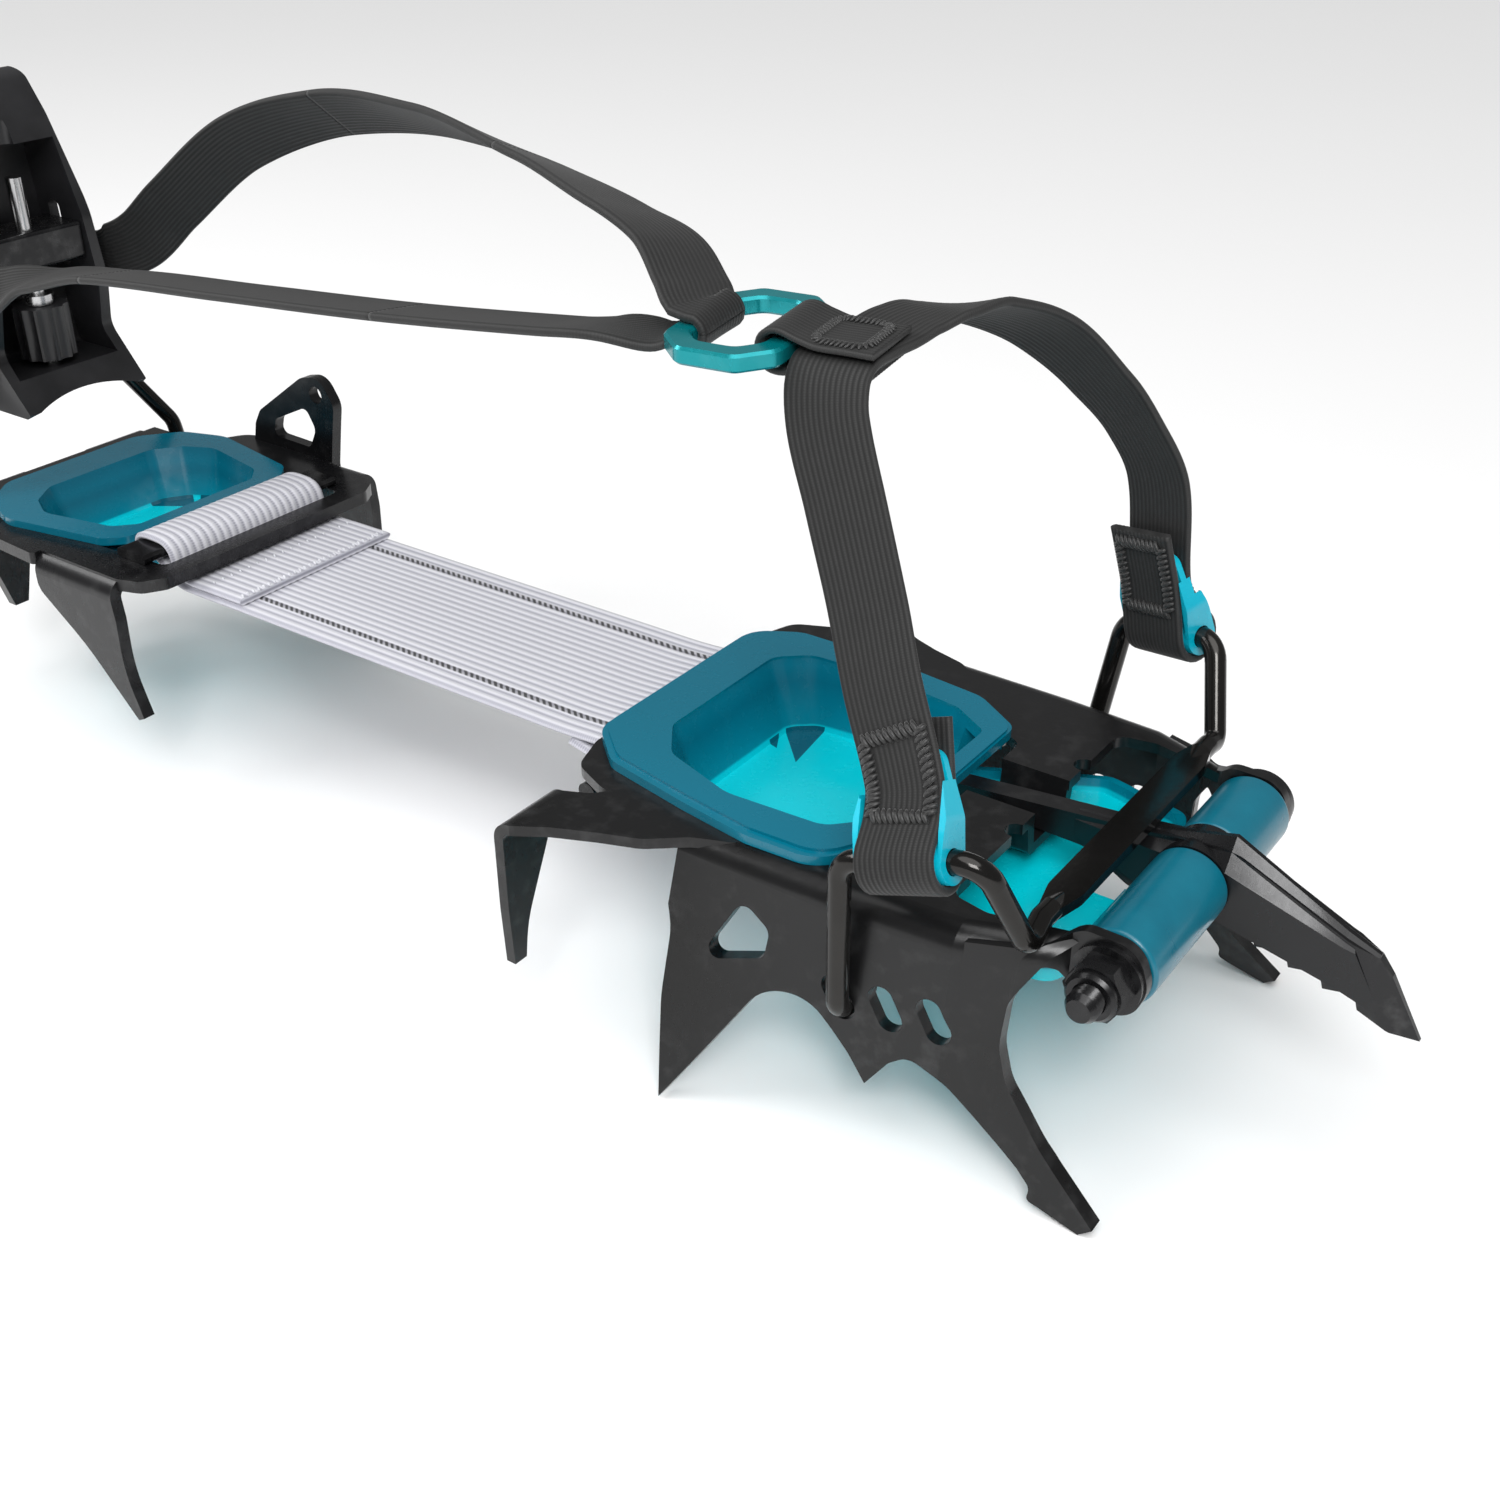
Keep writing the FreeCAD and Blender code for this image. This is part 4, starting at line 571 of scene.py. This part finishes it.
# The toe strap's route repeats the CAD band's stations, in mm, from the outer side to the inner.
TOE_ROUTE = (
    ((-31.2, -47.6, 21.6), (0.93, 0.05, 0.33)),
    ((-34.8, -44.9, 28.3), (0.93, 0.05, 0.33)),
    ((-41.5, -39.6, 40.2), (0.93, 0.06, 0.32)),
    ((-47.6, -35.0, 51.0), (0.93, 0.08, 0.30)),
    ((-54.8, -31.0, 65.3), (0.93, 0.10, 0.25)),
    ((-60.2, -28.2, 76.5), (0.95, 0.12, 0.15)),
    ((-61.8, -26.3, 82.4), (0.99, 0.11, 0.03)),
    ((-62.2, -23.6, 85.3), (0.993, 0.113, 0.0)),
    ((-62.5, -17.0, 85.9), (0.993, 0.113, 0.0)),
    ((-62.0, -10.0, 86.3), (0.993, 0.113, 0.0)),
    ((-60.8, -3.0, 87.4), (0.96, 0.26, 0.03)),
    ((-58.4, 4.0, 87.8), (0.95, 0.28, 0.06)),
    ((-55.4, 13.5, 86.0), (0.93, 0.14, 0.26)),
    ((-49.4, 26.0, 80.0), (0.89, -0.08, 0.42)),
    ((-42.5, 36.5, 69.0), (0.88, -0.22, 0.38)),
    ((-37.2, 43.4, 58.5), (0.89, -0.31, 0.28)),
    ((-33.4, 47.0, 48.5), (0.92, -0.31, 0.22)),
    ((-31.2, 49.0, 36.0), (0.925, -0.32, 0.19)),
    ((-29.9, 50.2, 26.4), (0.925, -0.32, 0.19)),
)
LOOP_CORNERS = {
    -1: ((-42.0, -50.0, 11.5), (-16.5, -49.0, 20.5)),
    1: ((-39.6, 54.6, 14.4), (-17.7, 47.0, 18.9)),
}
SLEEVE_RADIUS = 3.75


def thimble_fold(side):
    """Rows for a sewn end: down the boot side of the tongue, round the sleeve and up the outside."""
    rear, front = (Vector(p) for p in LOOP_CORNERS[side])
    route = TOE_ROUTE if side < 0 else tuple(reversed(TOE_ROUTE))
    centre = (rear + front) * 0.5
    axis = (front - rear).normalized()
    leave = Vector(route[2][0]) - Vector(route[0][0])
    up = (leave - axis * leave.dot(axis)).normalized()
    out = up.cross(axis)
    if out.y * side < 0:
        out = -out
    reach = SLEEVE_RADIUS + WEB_THICK / 2 + 0.12
    spots = [(-3.25, 23.0), (-3.25, 17.0), (-3.35, 11.0), (-4.1, 5.0)]
    for degrees in (175, 205, 240, 270, 300, 335, 8, 32):
        angle = math.radians(degrees)
        spots.append((math.cos(angle) * reach, math.sin(angle) * reach))
    spots += [(1.1, 7.2), (0.1, 12.5)]
    return [(centre + out * x + up * z, axis, 1.0) for x, z in spots], centre, up, out


def sewn_box(built, rows, start, up, out, face_out):
    """A box of satin stitches on one face of the strap, from start and running up the strap."""
    near = min(range(len(rows)), key=lambda i: (rows[i][0] - start).length)
    rising = (rows[near + 1][0] - rows[near][0]).dot(up) > 0
    picked = rows[near:] if rising else list(reversed(rows[: near + 1]))
    normal = surface_of(picked, WEB_THICK)((5.0, 0.0))[1]
    face = 1.0 if normal.dot(out) * face_out > 0 else -1.0
    place = surface_of(picked, WEB_THICK, face)
    long_end, half = 14.6, 5.5
    box = ((0.8, -half), (long_end, -half), (long_end, half), (0.8, half))
    stitched_line(built, place, box, 1.12, 2.7, radius=0.5, lift=0.42)


def toe_strap():
    outer_end, *outer_frame = thimble_fold(-1)
    inner_end, *inner_frame = thimble_fold(1)
    middle = [(Vector(p), Vector(a), 1.0) for p, a in TOE_ROUTE[2:-2]]
    stations = outer_end + middle + list(reversed(inner_end))
    rows = smooth_stations(stations, 0.9)
    strap = strap_mesh("toe_strap_webbing", rows, WEB_WIDTH, WEB_THICK, WEBBING)
    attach(strap, "toe_harness")
    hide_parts("toe_strap")
    built = bmesh.new()
    for centre, up, out in (outer_frame, inner_frame):
        sewn_box(built, rows, centre + up * 6.0 + out * 1.2, up, out, 1.0)
        sewn_box(built, rows, centre + up * 6.0 - out * 4.0, up, out, -1.0)
    thread_piece = finish_mesh(built, "toe_strap_stitching", THREAD)
    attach(thread_piece, "toe_harness")


toe_strap()


# --- ring, keeper and ankle straps --------------------------------------------------------------

RING_CENTRE = Vector((-81.9, -19.2, 86.2))
AHEAD = Vector((0.993, 0.113, 0.0)).normalized()
NORMAL = Vector((0.0, -0.06, 1.0))
NORMAL = (NORMAL - AHEAD * NORMAL.dot(AHEAD)).normalized()
BAR_RUN = NORMAL.cross(AHEAD)
BAR_REACH = 8.9


def keeper():
    """The sewn tab: one piece of webbing folded round the ring's front bar over the toe strap."""
    bar = RING_CENTRE + AHEAD * BAR_REACH

    def spot(x, z):
        return bar + AHEAD * x + NORMAL * z

    layer = 1.15
    path = [(17.0, -1.75), (9.0, -1.75), (5.0, -2.0), (1.0, -3.45), (-2.2, -2.9), (-3.6, -0.4)]
    path += [(-2.9, 2.3), (-0.3, 3.55), (3.4, 2.6), (7.0, 1.75), (12.0, 1.75), (17.4, 1.70)]
    rows = smooth_stations([(spot(x, z), BAR_RUN, 1.0) for x, z in path], 0.6)
    tab = strap_mesh("keeper_webbing", rows, WEB_WIDTH, layer, WEBBING, rib=0.08)
    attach(tab, "toe_harness")
    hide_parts("strap_tab")
    built = bmesh.new()

    def place(point):
        return bar + AHEAD * point[0] + BAR_RUN * point[1] + NORMAL * (1.75 + layer / 2), NORMAL.copy()

    ring = []
    for corner_x, corner_y, first in ((13.0, 3.4, 0), (7.6, 3.4, 90), (7.6, -3.4, 180), (13.0, -3.4, 270)):
        for step in range(5):
            angle = math.radians(first + step * 22.5)
            ring.append((corner_x + 2.2 * math.cos(angle), corner_y + 2.2 * math.sin(angle)))
    stitched_line(built, place, ring, 0.85, 2.2, radius=0.36, lift=0.28)

    def under(point):
        return bar + AHEAD * point[0] + BAR_RUN * point[1] - NORMAL * (1.75 + layer / 2), -NORMAL

    stitched_line(built, under, ring, 0.95, 1.7, radius=0.28, lift=0.2)
    piece = finish_mesh(built, "keeper_stitching", THREAD)
    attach(piece, "toe_harness")


keeper()


WRAP_AT = RING_CENTRE - AHEAD * BAR_REACH + BAR_RUN * 0.8
WRAP_AHEAD = 3.2
WRAP_RISE = 2.8


def bar_wrap(*angles):
    """Rows round the ring's rear bar at the given angles, from ahead of it and upwards, in degrees."""
    rows = []
    for degrees in angles:
        angle = math.radians(degrees)
        offset = AHEAD * (math.cos(angle) * WRAP_AHEAD) + NORMAL * (math.sin(angle) * WRAP_RISE)
        rows.append((WRAP_AT + offset, BAR_RUN.copy(), 0.95))
    return rows


OUTER_ROUTE = (
    ((-106.0, -28.0, 84.4), (0.0, 0.993, -0.10)),
    ((-115.4, -29.0, 83.3), (0.0, 0.993, -0.12)),
    ((-157.0, -27.0, 78.0), (0.0, 0.99, -0.12)),
    ((-205.0, -24.5, 73.0), (0.0, 0.99, -0.12)),
    ((-251.5, -22.6, 68.3), (0.0, 0.99, -0.12)),
    ((-275.0, -22.6, 63.6), (0.0, 0.98, 0.10)),
    ((-291.0, -24.2, 58.8), (0.0, 0.80, 0.60)),
    ((-304.0, -26.6, 55.0), (0.0, 0.30, 0.95)),
)
INNER_ROUTE = (
    ((-107.7, -8.0, 95.0), (0.40, 0.88, -0.20)),
    ((-123.9, -2.0, 97.4), (0.44, 0.85, -0.28)),
    ((-150.0, 8.0, 99.5), (0.42, 0.82, -0.38)),
    ((-190.0, 20.0, 101.0), (0.25, 0.80, -0.55)),
    ((-230.0, 28.0, 97.0), (0.05, 0.70, -0.71)),
    ((-265.0, 29.5, 86.0), (0.0, 0.50, -0.86)),
    ((-292.0, 28.0, 68.0), (-0.30, 0.30, -0.90)),
    ((-305.0, 26.8, 58.0), (-0.40, 0.10, -0.91)),
)
LEG_X = -320.5
LEG_Y = 21.5
LEG_Z = 53.0


def leg_wrap(side, upright):
    """Rows round the heel wire's upright leg: past its outer side, round its rear and back inside."""
    radius = 2.0 + WEB_THICK / 2 + 0.2
    rows = [((LEG_X + 5.0, side * (LEG_Y + radius + 0.8), LEG_Z + 0.5), upright, 0.95)]
    for degrees in (90, 140, 190, 240, 290):
        angle = math.radians(degrees)
        x = LEG_X + radius * math.cos(angle)
        y = side * (LEG_Y + radius * math.sin(angle))
        rows.append(((x, y, LEG_Z), upright, 0.70))
    return rows


def ankle_run(label, route, front_rows, side, upright, cuts):
    stations = front_rows + [(Vector(p), Vector(a), 1.0) for p, a in route] + leg_wrap(side, upright)
    rows = smooth_stations(stations, 0.95)
    marks = [min(range(len(rows)), key=lambda i: abs(rows[i][0].x - cut)) for cut in cuts]
    spans = ((0, marks[0]), (marks[0], marks[1]), (marks[1], len(rows) - 1))
    bodies = (
        ("toe_harness", "front_section"),
        ("front_section", "heel_section"),
        ("heel_section", "heel_wire"),
    )
    blends = (((-0.108, 0, 0.084), (cuts[0] * MM + 0.004, 0, 0.084)),)
    blends += (((cuts[0] * MM - 0.004, 0, 0.08), (cuts[1] * MM + 0.004, 0, 0.08)),)
    blends += (((cuts[1] * MM - 0.004, 0, 0.07), (-0.300, 0, 0.07)),)
    for part, span, pair, ends in zip(("front", "middle", "rear"), spans, bodies, blends):
        name = f"{label}_webbing_{part}"
        first, last = span
        piece = strap_mesh(name, rows, WEB_WIDTH, WEB_THICK, WEBBING, start=first, end=last)
        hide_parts(f"{label}_{part}")
        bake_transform(piece)


outer_front = bar_wrap(12, -25, -60, -95, -125)
outer_front.append((Vector((-97.5, -22.6, 83.4)), Vector((0.10, 0.99, -0.03)), 0.97))
ankle_run("ankle_strap_outer", OUTER_ROUTE, outer_front, -1, Vector((0.0, 0.0, 1.0)), (-157.0, -251.5))
inner_front = bar_wrap(2, 35, 70, 105)
inner_front.append((Vector((-96.6, -15.6, 90.8)), Vector((0.22, 0.97, -0.04)), 0.97))
ankle_run("ankle_strap_inner", INNER_ROUTE, inner_front, 1, Vector((0.0, 0.0, -1.0)), (-157.0, -230.0))


# --- linking strap ------------------------------------------------------------------------------

ROD_FRONT = (-109.3, -6.6)
LINK_WIDTH = 48.0
LINK_THICK = 1.7


def linking_strap():
    """One flat strap: sewn doubled under the heel frame's front bar, looped over each rod."""
    radius = 2.0 + 0.3 + LINK_THICK / 2
    path = [(-222.4, -2.15), (-232.0, -2.15), (-240.5, -2.1), (-244.0, -1.1), (-245.2, 1.2), (-246.0, 4.2)]
    path += [(-247.8, 5.9), (-250.5, 6.35), (-254.8, 6.3), (-257.1, 5.6), (-258.0, 4.2), (-257.2, 2.6)]
    path += [(-254.6, 2.0), (-250.8, 1.2), (-247.9, -1.8), (-244.6, -3.7), (-239.0, -4.08)]
    path += [(-222.0, -4.10), (-200.0, -4.10), (-180.0, -4.10)]
    path += [(-160.0, -4.10), (-140.0, -4.10), (-126.0, -4.10), (-117.0, -3.7)]
    for degrees in (100, 55, 10, -35, -80):
        angle = math.radians(degrees)
        path.append((ROD_FRONT[0] + radius * math.cos(angle), ROD_FRONT[1] + radius * math.sin(angle)))
    path += [(-114.0, -9.2), (-118.0, -7.4), (-124.0, -6.0)]
    across = Vector((0, 1, 0))
    rows = smooth_stations([((x, 0.0, z), across, 1.0) for x, z in path], 1.1)
    strap = strap_mesh("linking_strap_webbing", rows, LINK_WIDTH, LINK_THICK, PALE, pitch=2.15, rib=0.14)
    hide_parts("linking_strap")
    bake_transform(strap)
    built = bmesh.new()

    def top(point):
        return Vector((point[0], point[1], -1.28)), Vector((0, 0, 1))

    stitched_line(built, top, ((-223.4, -23.0), (-223.4, 23.0)), 1.6, 1.3, False, 0.3, 0.2)
    stitched_line(built, top, ((-234.5, -22.5), (-234.5, 22.5)), 2.6, 0.9, False, 0.26, 0.15)

    def under(point):
        return Vector((point[0], point[1], -6.9)), Vector((0, 0, -1))

    stitched_line(built, under, ((-122.8, -23.0), (-122.8, 23.0)), 1.6, 1.3, False, 0.3, 0.2)
    surface = Surface("pale_thread", (0.75, 0.76, 0.8), 0.6, Sheen_Weight=0.3, Sheen_Roughness=0.4)
    twist = surface.noise(2600.0, 2.0)
    surface.colour(surface.ramp(twist, ((0.3, (0.55, 0.56, 0.6)), (0.7, (0.85, 0.86, 0.9)))))
    surface.bump(twist, 0.00004)
    threads = finish_mesh(built, "linking_strap_stitching", surface.material)
    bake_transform(threads)


linking_strap()


# --- floor and light ----------------------------------------------------------------------------

floor_level = cad_low.z - 0.0002
bpy.ops.mesh.primitive_plane_add(size=30.0, location=(0, 0, floor_level))
floor = bpy.context.object
floor.name = "floor"
ground = Surface("floor_white", (0.93, 0.93, 0.93), 0.6)
ground.colour(ground.ramp(ground.noise(3.0, 2.0), ((0.0, 0.92), (1.0, 0.94))))
floor.data.materials.append(ground.material)

world = bpy.data.worlds.new("world")
world.use_nodes = True
world.node_tree.nodes["Background"].inputs["Color"].default_value = (1.0, 1.0, 1.0, 1.0)
world.node_tree.nodes["Background"].inputs["Strength"].default_value = 0.25
bpy.context.scene.world = world


def area_light(name, place, target, size, power):
    data = bpy.data.lights.new(name, "AREA")
    data.shape = "RECTANGLE"
    data.size, data.size_y = size
    data.energy = power
    lamp = bpy.data.objects.new(name, data)
    bpy.context.collection.objects.link(lamp)
    lamp.location = place
    lamp.rotation_mode = "QUATERNION"
    lamp.rotation_quaternion = (Vector(target) - Vector(place)).to_track_quat("-Z", "Y")


area_light("key", (0.45, -0.75, 0.80), (-0.05, 0, 0), (0.45, 0.45), 9.0)
area_light("rim", (-0.75, -0.35, 0.55), (-0.2, 0, 0), (0.5, 0.3), 3.0)
sun_data = bpy.data.lights.new("overhead", "SUN")
sun_data.energy = 1.75
sun_data.angle = math.radians(55)
sun = bpy.data.objects.new("overhead", sun_data)
bpy.context.collection.objects.link(sun)
sun.rotation_euler = (math.radians(12), math.radians(8), 0)
bpy.context.scene.view_settings.view_transform = "Standard"
